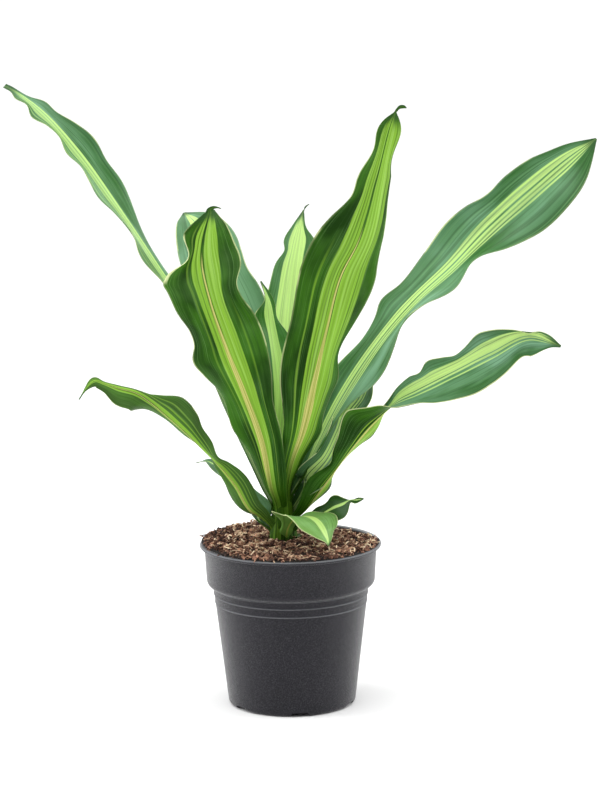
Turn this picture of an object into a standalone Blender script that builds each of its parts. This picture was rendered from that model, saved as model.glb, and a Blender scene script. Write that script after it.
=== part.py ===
"""Potted dracaena: a nursery pot, the soil in it, a short stem and thirteen long wavy leaves.

Metres, +Z up. The origin is the centre of the pot's foot, and the front of the plant faces -Y.
"""
import math

import bmesh
import bpy
import numpy as np

MM = 0.001
GAP = 0.3 * MM  # left between pieces that touch

# Pot
RIM_RADIUS = 85 * MM
POT_HEIGHT = 153 * MM
LIP_HEIGHT = 3 * MM
BAND_RADIUS = 80.7 * MM
BAND_BOTTOM_RADIUS = 78.9 * MM
SHOULDER_HEIGHT = 113 * MM
WAIST_RADIUS = 73 * MM
FOOT_RADIUS = 60 * MM
FOOT_ROUND = 4 * MM
WALL = 1.5 * MM
FLOOR = 1.8 * MM
FOOT_RING_TOP = 5.4 * MM
FOOT_RING_INNER = 46 * MM
RING_HEIGHTS = (105.5 * MM, 97.5 * MM)
RING_RELIEF = 0.6 * MM
NOTCH_COUNT = 6
NOTCH_BEARING = 277.0
NOTCH_WIDTH = 20 * MM
NOTCH_HEIGHT = 3.6 * MM
NOTCH_SLANT = 3 * MM
DRAIN_RADIUS = 4 * MM
DRAIN_CIRCLE = 34 * MM
POT_SEGMENTS = 48

# Soil and stem
SOIL_RIM_LEVEL = 149 * MM
SOIL_MOUND = 4.5 * MM
SOIL_BUMP = 1.6 * MM
SOIL_RINGS = (13, 18, 25, 33, 42, 51, 60, 68, 74)
STEM_X = -7 * MM
STEM_FOOT = 100 * MM
STEM_TOP = 224 * MM
STEM_RADIUS = 10 * MM
STEM_TOP_RADIUS = 3.4 * MM
STEM_TAPER_START = 155 * MM
STEM_SEGMENTS = 20

# Leaves
LEAF_STATIONS = 25
LEAF_ACROSS = (-1.0, -0.55, 0.0, 0.55, 1.0)
BASE_HALF_WIDTH = 8 * MM
MARGIN_THICKNESS = 0.8 * MM
MIDRIB_THICKNESS = 1.2 * MM
BASE_THICKNESS = 1.6 * MM
BASE_FOLD = 52.0
BLADE_FOLD = 20.0

# Each leaf: the bearing it leaves the stem on (degrees from +X, towards +Y at the back), the height
# of its foot on the stem and its lean from upright there, the length of its collar, then points along
# its midrib as (x, y, z, half width, twist), and the wave of its left and right margins as
# (height, number along the leaf, phase). Lengths are in millimetres, angles in degrees. The leaves go
# round the stem from the lowest, outermost one to the young one at the heart.
LEAVES = {
    "leaf_front_small": {
        "bearing": 272, "foot": 157, "lean": 32, "collar": 13,
        "points": [(2, -35, 187, 15, 5), (14, -50, 192, 16, 5), (26, -63, 184, 14, 0), (34, -65, 163, 1, 0)],
        "waves": [(3.0, 3.2, 0.24), (1.2, 2.9, 0.20)],
    },
    "leaf_right_small": {
        "bearing": 350, "foot": 162, "lean": 42, "collar": 14,
        "points": [(33, -18, 190, 12, 10), (49, -32, 197, 11, 10), (66, -44, 204, 1, 10)],
        "waves": [(3.0, 2.8, 0.67), (2.5, 3.1, 0.15)],
    },
    "leaf_left_lowest": {
        "bearing": 165, "foot": 161, "lean": 46, "collar": 18,
        "points": [(-47, 30, 205, 18, -5), (-62, 44, 217, 16, -10), (-76, 58, 219, 9, -10), (-89, 71, 215, 1, -10)],
        "waves": [(1.2, 3.0, 0.60), (1.2, 3.0, 0.00)],
    },
    "leaf_left_low": {
        "bearing": 200, "foot": 165, "lean": 40, "collar": 20,
        "points": [(-47, -20, 212, 15, -30), (-62, -27, 236, 15, -30), (-80, -34, 262, 16, -35),
                   (-102, -41, 290, 14, -40), (-127, -49, 297, 12, -40), (-149, -54, 304, 11, -40),
                   (-168, -57, 315, 5, -40), (-191, -60, 303, 1, -40)],
        "waves": [(3.5, 2.4, 0.83), (3.0, 2.0, 0.23)],
    },
    "leaf_right_low": {
        "bearing": 345, "foot": 170, "lean": 38, "collar": 22,
        "points": [(47, -17, 232, 20, 5), (73, -29, 266, 26, 10), (93, -39, 289, 28, 20), (115, -48, 303, 27, 35),
                   (150, -57, 322, 24, 65), (184, -65, 341, 22, 80), (219, -73, 358, 12, 85), (246, -81, 350, 1, 85)],
        "waves": [(1.5, 3.0, 0.80), (1.5, 2.9, 0.74)],
    },
    "leaf_right_inner": {
        "bearing": 45, "foot": 175, "lean": 33, "collar": 24,
        "points": [(33, 30, 235, 20, -20), (53, 48, 260, 21, -20), (69, 66, 281, 17, -10), (79, 82, 301, 10, -10),
                   (76, 96, 318, 1, -5)],
        "waves": [(1.8, 3.1, 0.65), (1.7, 3.4, 0.45)],
    },
    "leaf_left_high": {
        "bearing": 150, "foot": 181, "lean": 28, "collar": 26,
        "points": [(-63, 33, 291, 23, 10), (-92, 52, 358, 28, 10), (-127, 70, 412, 28, 10), (-163, 86, 464, 26, 5),
                   (-199, 103, 512, 21, -5), (-236, 119, 551, 11, -10), (-269, 132, 573, 1, -10)],
        "waves": [(6.0, 2.0, 0.65), (2.5, 2.5, 0.30)],
    },
    "leaf_front_left": {
        "bearing": 240, "foot": 186, "lean": 28, "collar": 26,
        "points": [(-26, -34, 258, 20, 15), (-41, -56, 307, 29, 20), (-55, -82, 350, 33, 25), (-69, -110, 400, 31, 30),
                   (-75, -137, 438, 31, 35), (-73, -160, 461, 24, 40), (-66, -188, 489, 1, 40)],
        "waves": [(3.0, 5.0, 0.50), (1.6, 3.0, 0.53)],
    },
    "leaf_right_long": {
        "bearing": 18, "foot": 191, "lean": 28, "collar": 26,
        "points": [(52, 36, 286, 25, 15), (92, 60, 340, 31, 10), (120, 74, 369, 33, 10), (157, 88, 400, 33, 20),
                   (194, 101, 436, 31, 45), (232, 114, 468, 27, 60), (269, 130, 496, 17, 60), (298, 147, 513, 1, 55)],
        "waves": [(3.9, 4.4, 0.36), (4.3, 2.1, 0.98)],
    },
    "leaf_back_left": {
        "bearing": 118, "foot": 197, "lean": 24, "collar": 26,
        "points": [(-31, 43, 300, 28, -10), (-46, 66, 349, 32, -15), (-60, 91, 383, 30, -20), (-74, 122, 415, 28, -20),
                   (-88, 152, 435, 18, -15), (-101, 182, 441, 1, -15)],
        "waves": [(1.5, 2.9, 0.42), (1.2, 3.0, 0.52)],
    },
    "leaf_front_tall": {
        "bearing": 305, "foot": 203, "lean": 16, "collar": 26,
        "points": [(12, -23, 262, 21, -5), (24, -35, 313, 32, -5), (35, -44, 362, 37, -8), (49, -56, 415, 39, -10),
                   (63, -67, 444, 37, -8), (80, -82, 503, 21, -5), (96, -96, 558, 6, -5), (107, -104, 569, 1, -5)],
        "waves": [(4.6, 3.0, 0.26), (4.4, 2.6, 0.26)],
    },
    "leaf_back_centre": {
        "bearing": 80, "foot": 208, "lean": 20, "collar": 24,
        "points": [(-5, 28, 302, 23, 0), (-3, 47, 347, 24, 0), (1, 66, 382, 20, 0), (8, 89, 421, 12, 0),
                   (15, 111, 450, 1, 0)],
        "waves": [(1.0, 3.0, 0.10), (1.1, 3.0, 0.28)],
    },
    "leaf_inner_young": {
        "bearing": 110, "foot": 215, "lean": 5, "collar": 24,
        "points": [(-8, 8, 306, 20, 0), (-15, 12, 353, 13, 5), (-19, 15, 380, 6, 5), (-25, 14, 398, 1, 5)],
        "waves": [(1.5, 3.0, 0.33), (2.0, 3.1, 0.20)],
    },
}


def clear_scene():
    for thing in list(bpy.data.objects):
        bpy.data.objects.remove(thing, do_unlink=True)


def material(name, colour, roughness):
    finish = bpy.data.materials.new(name)
    finish.use_nodes = True
    shader = finish.node_tree.nodes["Principled BSDF"]
    shader.inputs["Base Color"].default_value = (*colour, 1.0)
    shader.inputs["Roughness"].default_value = roughness
    shader.inputs["Metallic"].default_value = 0.0
    return finish


def new_object(name, mesh, finish):
    mesh.materials.append(finish)
    thing = bpy.data.objects.new(name, mesh)
    bpy.context.scene.collection.objects.link(thing)
    return thing


def mesh_from(name, points, faces, smooth=True):
    mesh = bpy.data.meshes.new(name)
    mesh.from_pydata([tuple(p) for p in points], [], faces)
    if smooth:
        mesh.shade_smooth()
    return mesh


def lathe(name, profile, segments, raise_by=None):
    """Turn a closed profile about +Z. It starts and ends on the axis, with the solid on its left.

    raise_by(radius, angle) may lift the points that the profile marks with a third value of True.
    """
    points = []
    rings = []
    for r, z, *lifted in profile:
        if r == 0:
            rings.append([len(points)] * segments)
            points.append((0.0, 0.0, z))
            continue
        ring = []
        for k in range(segments):
            angle = 2 * math.pi * k / segments
            lift = raise_by(r, angle) if lifted else 0.0
            ring.append(len(points))
            points.append((r * math.cos(angle), r * math.sin(angle), z + lift))
        rings.append(ring)
    faces = []
    for low, high in zip(rings, rings[1:]):
        for k in range(segments):
            n = (k + 1) % segments
            corners = [low[k], low[n], high[n], high[k]]
            face = list(dict.fromkeys(corners))
            if len(face) > 2:
                faces.append(face)
    return mesh_from(name, points, faces)


def pot_outside():
    """The outer outline of the pot from the centre of its underside up to the lip's top edge."""
    outline = [(0.0, 0.0), (FOOT_RING_INNER, 0.0), (FOOT_RADIUS - FOOT_ROUND, 0.0)]
    for degrees in (35, 65, 90):
        a = math.radians(degrees)
        outline.append((FOOT_RADIUS - FOOT_ROUND * (1 - math.sin(a)), FOOT_ROUND * (1 - math.cos(a))))
    slope = (WAIST_RADIUS - FOOT_RADIUS) / (SHOULDER_HEIGHT - FOOT_ROUND)
    for height in reversed(RING_HEIGHTS):
        for dz, relief in ((-1.2 * MM, 0.0), (0.0, RING_RELIEF), (1.2 * MM, 0.0)):
            outline.append((FOOT_RADIUS + slope * (height + dz - FOOT_ROUND) + relief, height + dz))
    outline.append((WAIST_RADIUS, SHOULDER_HEIGHT))
    bulge = BAND_BOTTOM_RADIUS - WAIST_RADIUS
    for degrees in (25, 55, 90):
        a = math.radians(degrees)
        outline.append((WAIST_RADIUS + bulge * math.sin(a), SHOULDER_HEIGHT + bulge * (1 - math.cos(a))))
    lip_bottom = POT_HEIGHT - LIP_HEIGHT
    soft = 0.9 * MM
    outline += [(BAND_RADIUS, lip_bottom), (RIM_RADIUS - soft, lip_bottom), (RIM_RADIUS, lip_bottom + soft),
                (RIM_RADIUS, POT_HEIGHT - soft), (RIM_RADIUS - soft, POT_HEIGHT)]
    return outline


def pot_inside():
    """The inner outline from the top of the wall down to the centre of the floor."""
    step = BAND_BOTTOM_RADIUS - WALL
    return [(BAND_RADIUS - WALL + 0.4 * MM, POT_HEIGHT), (BAND_RADIUS - WALL, POT_HEIGHT - 2 * MM),
            (step, SHOULDER_HEIGHT + 6 * MM), (step - 2 * MM, SHOULDER_HEIGHT + 3 * MM),
            (WAIST_RADIUS - WALL, SHOULDER_HEIGHT), (FOOT_RADIUS - WALL, 9 * MM),
            (FOOT_RADIUS - 4.5 * MM, FOOT_RING_TOP), (FOOT_RING_INNER, FOOT_RING_TOP),
            (FOOT_RING_INNER - 2 * MM, FLOOR), (0.0, FLOOR)]


def prism(points, faces, outline, low, high, place):
    """Add a straight prism over a flat outline, with each corner put in place by a function."""
    count = len(outline)
    first = len(points)
    for level in (low, high):
        points += [place(x, y, level) for x, y in outline]
    faces.append([first + k for k in reversed(range(count))])
    faces.append([first + count + k for k in range(count)])
    for k in range(count):
        n = (k + 1) % count
        faces.append([first + k, first + n, first + count + n, first + count + k])


def pot_cutter():
    """Foot notches, slanted at both ends, and the round drain holes in the floor."""
    points = []
    faces = []
    half = NOTCH_WIDTH / 2
    under = -1 * MM
    widen = NOTCH_SLANT * (NOTCH_HEIGHT - under) / NOTCH_HEIGHT
    notch = [(half - NOTCH_SLANT + widen, under), (half - NOTCH_SLANT, NOTCH_HEIGHT),
             (NOTCH_SLANT - half, NOTCH_HEIGHT), (NOTCH_SLANT - half - widen, under)]
    for k in range(NOTCH_COUNT):
        bearing = math.radians(NOTCH_BEARING + 360 * k / NOTCH_COUNT)
        cos, sin = math.cos(bearing), math.sin(bearing)

        def across(x, z, r):
            return (r * cos - x * sin, r * sin + x * cos, z)

        prism(points, faces, notch, FOOT_RING_INNER + 4 * MM, FOOT_RADIUS + 4 * MM, across)
        turn = [2 * math.pi * s / 12 for s in range(12)]
        circle = [(DRAIN_CIRCLE * cos + DRAIN_RADIUS * math.cos(t), DRAIN_CIRCLE * sin + DRAIN_RADIUS * math.sin(t))
                  for t in turn]
        prism(points, faces, circle, under, FLOOR + 2 * MM, lambda x, y, z: (x, y, z))
    mesh = mesh_from("pot_cutter", points, faces, smooth=False)
    work = bmesh.new()
    work.from_mesh(mesh)
    bmesh.ops.recalc_face_normals(work, faces=work.faces)
    work.to_mesh(mesh)
    work.free()
    return mesh


def make_pot():
    finish = material("dark_pot_plastic", (0.035, 0.034, 0.040), 0.55)
    pot = new_object("pot", lathe("pot", pot_outside() + pot_inside(), POT_SEGMENTS), finish)
    cutter = new_object("pot_cutter", pot_cutter(), finish)
    cutter.hide_render = True
    cutter.display_type = "WIRE"
    cut = pot.modifiers.new("notches_and_drains", "BOOLEAN")
    cut.operation = "DIFFERENCE"
    cut.solver = "EXACT"
    cut.object = cutter
    return pot


def soil_height(r, angle):
    """The lift of the soil's surface above its level at the rim: a low mound with soft lumps."""
    x = r * math.cos(angle) / MM
    y = r * math.sin(angle) / MM
    edge = min(1.0, (BAND_RADIUS - r) / (12 * MM))
    mound = SOIL_MOUND * math.exp(-((r / (46 * MM)) ** 2))
    lumps = math.sin(0.21 * x + 1.3) * math.cos(0.17 * y - 0.4) + 0.6 * math.sin(0.43 * x - 0.31 * y + 2.1)
    lumps += 0.5 * math.cos(0.38 * y + 0.29 * x)
    back = 1.4 * MM * math.sin(angle - 0.5)
    return mound + edge * (SOIL_BUMP * 0.6 * lumps + back * r / RIM_RADIUS)


def stem_radius(z):
    part = (z - STEM_TAPER_START) / (STEM_TOP - STEM_TAPER_START)
    return STEM_RADIUS + (STEM_TOP_RADIUS - STEM_RADIUS) * min(1.0, max(0.0, part))


def make_soil():
    inside = [(max(0.0, r - 0.4 * MM), z + 0.35 * MM) for r, z in pot_inside()]
    floor_up = [p for p in reversed(inside) if p[1] < POT_HEIGHT - 6 * MM]
    top_radius = BAND_RADIUS - WALL - 0.5 * MM
    surface = [(top_radius, SOIL_RIM_LEVEL - 1 * MM, True)]
    surface += [(r * MM, SOIL_RIM_LEVEL, True) for r in reversed(SOIL_RINGS)]
    soil = new_object("soil", lathe("soil", floor_up + surface + [(0.0, SOIL_RIM_LEVEL + SOIL_MOUND)],
                                    POT_SEGMENTS, soil_height),
                      material("peat_soil", (0.16, 0.085, 0.05), 0.95))
    hole = lathe("stem_hole", [(0.0, STEM_FOOT - GAP), (STEM_RADIUS + GAP, STEM_FOOT - GAP),
                               (STEM_RADIUS + GAP, POT_HEIGHT + 20 * MM), (0.0, POT_HEIGHT + 20 * MM)], STEM_SEGMENTS)
    cutter = new_object("stem_hole", hole, soil.data.materials[0])
    cutter.location.x = STEM_X
    cutter.hide_render = True
    cutter.display_type = "WIRE"
    cut = soil.modifiers.new("stem_hole", "BOOLEAN")
    cut.operation = "DIFFERENCE"
    cut.solver = "EXACT"
    cut.object = cutter
    return soil


def make_stem():
    heights = (STEM_FOOT, STEM_TAPER_START, 0.5 * (STEM_TAPER_START + STEM_TOP), STEM_TOP)
    side = [(stem_radius(z), z) for z in heights]
    tip = [(STEM_TOP_RADIUS * 0.6, STEM_TOP + 1.5 * MM), (0.0, STEM_TOP + 2 * MM)]
    stem = new_object("stem", lathe("stem", [(0.0, STEM_FOOT)] + side + tip, STEM_SEGMENTS),
                      material("green_stem", (0.16, 0.22, 0.05), 0.6))
    stem.location.x = STEM_X
    return stem


def smooth_through(knots, values, at):
    """A smooth curve through the values at the knots, read at the places asked for."""
    knots = np.asarray(knots, float)
    values = np.asarray(values, float).reshape(len(knots), -1)
    steps = np.diff(knots)[:, None]
    slopes = np.diff(values, axis=0) / steps
    tangents = np.vstack([slopes[:1], (steps[1:] * slopes[:-1] + steps[:-1] * slopes[1:]) / (steps[1:] + steps[:-1]),
                          slopes[-1:]])
    i = np.clip(np.searchsorted(knots, at, side="right") - 1, 0, len(knots) - 2)
    h = steps[i]
    s = (at[:, None] - knots[i][:, None]) / h
    return ((2 * s**3 - 3 * s**2 + 1) * values[i] + (s**3 - 2 * s**2 + s) * h * tangents[i]
            + (3 * s**2 - 2 * s**3) * values[i + 1] + (s**3 - s**2) * h * tangents[i + 1])


def unit(vectors):
    return vectors / np.linalg.norm(vectors, axis=-1, keepdims=True)


def leaf_sheet(leaf, along, across):
    """The leaf's middle surface as a grid of points: rows along the midrib, columns across it."""
    bearing = math.radians(leaf["bearing"])
    outward = np.array([math.cos(bearing), math.sin(bearing), 0.0])
    lean = math.radians(leaf["lean"])
    foot_z = leaf["foot"] * MM
    seat = stem_radius(foot_z) + GAP + BASE_THICKNESS / 2
    foot = np.array([STEM_X, 0.0, foot_z]) + seat * outward
    collar = foot + leaf["collar"] * MM * (math.sin(lean) * outward + math.cos(lean) * np.array([0.0, 0.0, 1.0]))
    spine = np.vstack([foot, collar, [np.array(p[:3]) * MM for p in leaf["points"]]])
    knots = np.concatenate([[0.0], np.cumsum(np.linalg.norm(np.diff(spine, axis=0), axis=1))])
    knots /= knots[-1]
    first = leaf["points"][0]
    collar_share = knots[1] / knots[2]
    collar_width = BASE_HALF_WIDTH + (first[3] * MM - BASE_HALF_WIDTH) * collar_share**1.5
    widths = [BASE_HALF_WIDTH, collar_width] + [p[3] * MM for p in leaf["points"]]
    twists = [0.0, first[4] * collar_share] + [p[4] for p in leaf["points"]]
    middle = smooth_through(knots, spine, along)
    nudge = 0.001
    ahead = smooth_through(knots, spine, np.minimum(along + nudge, 1.0))
    behind = smooth_through(knots, spine, np.maximum(along - nudge, 0.0))
    direction = unit(ahead - behind)
    inner = unit(np.array([0.0, 0.0, 0.9]) - 0.4 * outward)
    face = unit(inner - (direction @ inner)[:, None] * direction)
    side = np.cross(direction, face)
    twist = np.radians(smooth_through(knots, twists, along))
    face, side = np.cos(twist) * face + np.sin(twist) * side, np.cos(twist) * side - np.sin(twist) * face
    half = np.maximum(smooth_through(knots, widths, along)[:, 0], 0.4 * MM)
    fold = np.radians(BLADE_FOLD + (BASE_FOLD - BLADE_FOLD) * (1 - along) ** 4)
    envelope = np.clip(along / 0.25, 0, 1) ** 1.5 * np.clip((1 - along) / 0.12, 0, 1)
    sheet = np.empty((len(along), len(across), 3))
    for column, c in enumerate(across):
        height, number, phase = leaf["waves"][0 if c > 0 else 1]
        wave = height * MM * c * c * np.sin(2 * math.pi * (number * along + phase)) * envelope
        out = half * np.sin(fold * c) / fold
        up = half * (1 - np.cos(fold * c)) / fold + wave
        sheet[:, column] = middle + out[:, None] * side + up[:, None] * face
    return sheet


def thicken(sheet, along, across):
    """Give a sheet of points its thickness. Both faces are split into triangles the same way."""
    rows, columns = len(along), len(across)
    run = np.gradient(sheet, axis=0)
    width = np.gradient(sheet, axis=1)
    normal = unit(np.cross(run, width))
    core = 1 - np.abs(np.array(across))
    thickness = MARGIN_THICKNESS + (MIDRIB_THICKNESS - MARGIN_THICKNESS) * core[None, :] * (1 - along)[:, None]
    base = np.clip(1 - along / 0.15, 0, 1)[:, None]
    thickness = thickness + (BASE_THICKNESS - thickness) * base * core[None, :]
    offset = 0.5 * thickness[..., None] * normal
    points = np.concatenate([(sheet + offset).reshape(-1, 3), (sheet - offset).reshape(-1, 3)])
    lower = rows * columns

    def at(row, column):
        return row * columns + column

    faces = []
    for row in range(rows - 1):
        for column in range(columns - 1):
            a, b = at(row, column), at(row, column + 1)
            c, d = at(row + 1, column + 1), at(row + 1, column)
            for tri in ((a, d, c), (a, c, b)):
                faces.append(tri)
                faces.append(tuple(lower + v for v in reversed(tri)))
    loop = [at(row, 0) for row in range(rows)]
    loop += [at(rows - 1, column) for column in range(1, columns)]
    loop += [at(row, columns - 1) for row in reversed(range(rows - 1))]
    loop += [at(0, column) for column in reversed(range(1, columns - 1))]
    for a, b in zip(loop, loop[1:] + loop[:1]):
        faces.append((a, lower + b, b))
        faces.append((a, lower + a, lower + b))
    return points, faces


def make_leaf(name, leaf, finish):
    along = np.linspace(0.0, 1.0, LEAF_STATIONS)
    sheet = leaf_sheet(leaf, along, LEAF_ACROSS)
    points, faces = thicken(sheet, along, LEAF_ACROSS)
    mesh = mesh_from(name, points, faces)
    work = bmesh.new()
    work.from_mesh(mesh)
    bmesh.ops.recalc_face_normals(work, faces=work.faces)
    work.to_mesh(mesh)
    work.free()
    return new_object(name, mesh, finish)


def main():
    clear_scene()
    make_pot()
    make_soil()
    make_stem()
    green = material("striped_leaf", (0.07, 0.22, 0.06), 0.4)
    for name, leaf in LEAVES.items():
        make_leaf(name, leaf, green)


main()
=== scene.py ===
# %% [markdown]
# # A potted dracaena, dressed for the studio
# The plant stands in a plain nursery pot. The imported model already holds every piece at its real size,
# so this lesson only changes how things look: it puts a finer mesh over each solid, grows the litter
# on the soil, and paints stripes, veins and plastic grain with nodes. All lengths are in metres.

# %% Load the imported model
import math

import bmesh
import bpy
import numpy as np
from mathutils import Matrix, Vector, noise


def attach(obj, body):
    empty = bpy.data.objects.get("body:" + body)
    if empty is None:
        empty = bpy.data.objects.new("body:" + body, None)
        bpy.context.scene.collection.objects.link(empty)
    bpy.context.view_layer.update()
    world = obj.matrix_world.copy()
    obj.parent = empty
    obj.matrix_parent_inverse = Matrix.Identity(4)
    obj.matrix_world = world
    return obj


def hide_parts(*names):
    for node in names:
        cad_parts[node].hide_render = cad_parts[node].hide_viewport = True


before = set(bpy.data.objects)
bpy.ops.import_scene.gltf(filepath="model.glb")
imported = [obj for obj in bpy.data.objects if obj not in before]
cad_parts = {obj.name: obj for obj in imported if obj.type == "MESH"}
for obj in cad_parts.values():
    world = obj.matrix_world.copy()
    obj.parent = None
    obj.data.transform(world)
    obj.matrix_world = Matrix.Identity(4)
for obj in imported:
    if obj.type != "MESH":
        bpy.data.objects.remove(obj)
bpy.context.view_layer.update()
MM = 0.001

# %% [markdown]
# ## Camera
# A product photographer stands well back with a long lens, so a tall plant keeps its proportions.
# The ellipses of the pot's rim and foot tell the pitch: the rim looks 13 degrees open and the foot
# almost 16, which fits a lens of 148 mm about three metres away. The picture leans by half a degree.

# %% Camera
LENS = 148.0
PITCH = 10.6
PICTURE_LEAN = 0.6
CAMERA_PLACE = Vector((0.0103, -3.0039, 0.8504))

camera = bpy.data.objects.new("camera", bpy.data.cameras.new("camera"))
bpy.context.scene.collection.objects.link(camera)
camera.data.lens = LENS
camera.data.sensor_width = 36.0
camera.data.clip_end = 30.0
turn = Matrix.Rotation(math.radians(90 - PITCH), 4, "X") @ Matrix.Rotation(math.radians(-PICTURE_LEAN), 4, "Z")
camera.matrix_world = Matrix.Translation(CAMERA_PLACE) @ turn
bpy.context.scene.camera = camera
print("camera", LENS, "mm at", tuple(round(v, 2) for v in CAMERA_PLACE))

# %% [markdown]
# ## Shader maths
# A node tree is easier to read as arithmetic. `Port` wraps one output socket, and its operators add
# Math nodes, so `1 - mask * 0.5` is four characters longer than the thought behind it. `Tree` makes any
# other node from its type, its settings and the values or links of its sockets.


# %% A small language for node trees
class Port:
    """One output socket. Adding, multiplying and the like on it makes Math nodes."""

    def __init__(self, tree, socket):
        self.tree = tree
        self.socket = socket

    def math(self, operation, *values):
        return self.tree.node("ShaderNodeMath", {"operation": operation}, dict(enumerate(values)))["Value"]

    def __add__(self, other):
        return self.math("ADD", self, other)

    def __sub__(self, other):
        return self.math("SUBTRACT", self, other)

    def __rsub__(self, other):
        return self.math("SUBTRACT", other, self)

    def __mul__(self, other):
        return self.math("MULTIPLY", self, other)

    def __truediv__(self, other):
        return self.math("DIVIDE", self, other)

    def __pow__(self, other):
        return self.math("POWER", self, other)

    __radd__ = __add__
    __rmul__ = __mul__

    def above(self, low, high):
        """0 below low, 1 above high and a soft step between. With low over high it falls instead."""
        flip = low > high
        settings = {"interpolation_type": "SMOOTHSTEP"}
        sockets = {"Value": self, "From Min": min(low, high), "From Max": max(low, high)}
        if flip:
            sockets.update({"To Min": 1.0, "To Max": 0.0})
        return self.tree.node("ShaderNodeMapRange", settings, sockets)["Result"]

    def absolute(self):
        return self.math("ABSOLUTE", self)


class Made:
    """A node that was made. Its outputs are read by name."""

    def __init__(self, tree, node):
        self.tree = tree
        self.node = node

    def __getitem__(self, name):
        return Port(self.tree, self.node.outputs[name])


class Tree:
    """A node tree to build in."""

    def __init__(self, tree):
        self.tree = tree

    def node(self, kind, settings=None, sockets=None):
        node = self.tree.nodes.new(kind)
        for name, value in (settings or {}).items():
            setattr(node, name, value)
        for name, value in (sockets or {}).items():
            if isinstance(value, Port):
                self.tree.links.new(value.socket, node.inputs[name])
            else:
                node.inputs[name].default_value = value
        return Made(self, node)

    def mix(self, factor, first, second, blend="MIX"):
        """Mix two colours; each may be a colour or a link."""
        sockets = {0: factor, 6: first, 7: second}
        made = self.node("ShaderNodeMix", {"data_type": "RGBA", "blend_type": blend}, sockets)
        return Port(self, made.node.outputs[2])

    def noise(self, where, scale, detail=2.0, roughness=0.5):
        sockets = {"Vector": where, "Scale": scale, "Detail": detail, "Roughness": roughness}
        return self.node("ShaderNodeTexNoise", None, sockets)["Fac"]

    def vector(self, x, y, z):
        return self.node("ShaderNodeCombineXYZ", None, {"X": x, "Y": y, "Z": z})["Vector"]

    def attribute(self, name):
        return self.node("ShaderNodeAttribute", {"attribute_name": name})["Fac"]


def srgb(red, green, blue):
    """A colour as read off a picture, 0 to 255, turned into the linear one that shaders use."""
    def linear(value):
        value /= 255
        return value / 12.92 if value <= 0.04045 else ((value + 0.055) / 1.055) ** 2.4

    return (linear(red), linear(green), linear(blue), 1.0)


def new_material(name):
    """A material with its tree and its Principled node."""
    finish = bpy.data.materials.new(name)
    finish.use_nodes = True
    return finish, Tree(finish.node_tree), finish.node_tree.nodes["Principled BSDF"]


def plug(tree, shader, **sockets):
    """Set or link the shader's sockets; Base_Color stands for Base Color."""
    for name, value in sockets.items():
        socket = shader.inputs[name.replace("_", " ")]
        if isinstance(value, Port):
            tree.tree.links.new(value.socket, socket)
        else:
            socket.default_value = value


# %% [markdown]
# ## Studio
# The photograph has a white sweep and soft light from all round, weaker from the front than from the
# sides: that is what keeps the pot's middle dark and gives it two pale edges. A world whose strength
# depends on the direction makes this light. The camera itself sees plain white behind the plant. Three
# big area lamps add soft gloss, and the floor is a pale plane.

# %% Floor
FLOOR_SIZE = 40.0

floor_mesh = bpy.data.meshes.new("floor")
reach = FLOOR_SIZE / 2
floor_mesh.from_pydata([(-reach, -reach, 0), (reach, -reach, 0), (reach, reach, 0), (-reach, reach, 0)],
                       [], [(0, 1, 2, 3)])
floor = bpy.data.objects.new("floor", floor_mesh)
bpy.context.scene.collection.objects.link(floor)
floor_finish, floor_tree, floor_shader = new_material("pale_floor")
plug(floor_tree, floor_shader, Base_Color=(0.93, 0.93, 0.93, 1.0), Roughness=0.9)
floor_mesh.materials.append(floor_finish)
print("floor", FLOOR_SIZE, "m across")

# %% World
FRONT_LIGHT = 0.12
SIDE_LIGHT = 1.10
TOP_LIGHT = 1.35
BACK_LIGHT = 0.80

world = bpy.data.worlds.new("studio")
bpy.context.scene.world = world
world.use_nodes = True
world_tree = Tree(world.node_tree)
way = world_tree.node("ShaderNodeTexCoord")["Generated"]
parts = world_tree.node("ShaderNodeSeparateXYZ", None, {"Vector": way})
front = (parts["Y"] * -1.0).above(0.25, 0.95)
back = parts["Y"].above(0.2, 0.9)
top = parts["Z"].above(0.3, 0.9)
light = front * (FRONT_LIGHT - SIDE_LIGHT) + back * (BACK_LIGHT - SIDE_LIGHT) + SIDE_LIGHT
light = light * (1 - top) + top * TOP_LIGHT
soft = world_tree.node("ShaderNodeBackground", None, {"Color": (1.0, 1.0, 1.0, 1.0), "Strength": light})
white = world_tree.node("ShaderNodeBackground", None, {"Color": (1.0, 1.0, 1.0, 1.0), "Strength": 1.0})
seen = world_tree.node("ShaderNodeLightPath")["Is Camera Ray"]
both = world_tree.node("ShaderNodeMixShader", None, {0: seen, 1: soft["Background"], 2: white["Background"]})
world.node_tree.links.new(both["Shader"].socket, world.node_tree.nodes["World Output"].inputs["Surface"])
bpy.context.scene.view_settings.view_transform = "Standard"


# %% Lamps
def lamp(name, place, aim, size, power):
    """A square soft box at a place, turned towards a point."""
    light = bpy.data.lights.new(name, "AREA")
    light.energy = power
    light.size = size
    thing = bpy.data.objects.new(name, light)
    bpy.context.scene.collection.objects.link(thing)
    thing.location = place
    thing.rotation_euler = (Vector(aim) - Vector(place)).to_track_quat("-Z", "Y").to_euler()
    return thing


PLANT_MIDDLE = (0.0, 0.0, 0.3)
lamp("left_box", (-1.8, 0.1, 0.9), PLANT_MIDDLE, 1.3, 21.0)
lamp("right_box", (1.8, 0.3, 0.9), PLANT_MIDDLE, 1.2, 15.0)
lamp("top_box", (-0.2, -0.3, 2.1), PLANT_MIDDLE, 1.4, 14.0)
print("world and three soft boxes")

# %% [markdown]
# ## Pot
# A nursery pot is moulded in one shot of thin dark plastic. It is a turned form, so the finer mesh is
# the same outline as the solid's with more points on its curves, turned in many steps. The notches at
# the foot and the drain holes are cut with a Boolean, as in the real mould.

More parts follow.
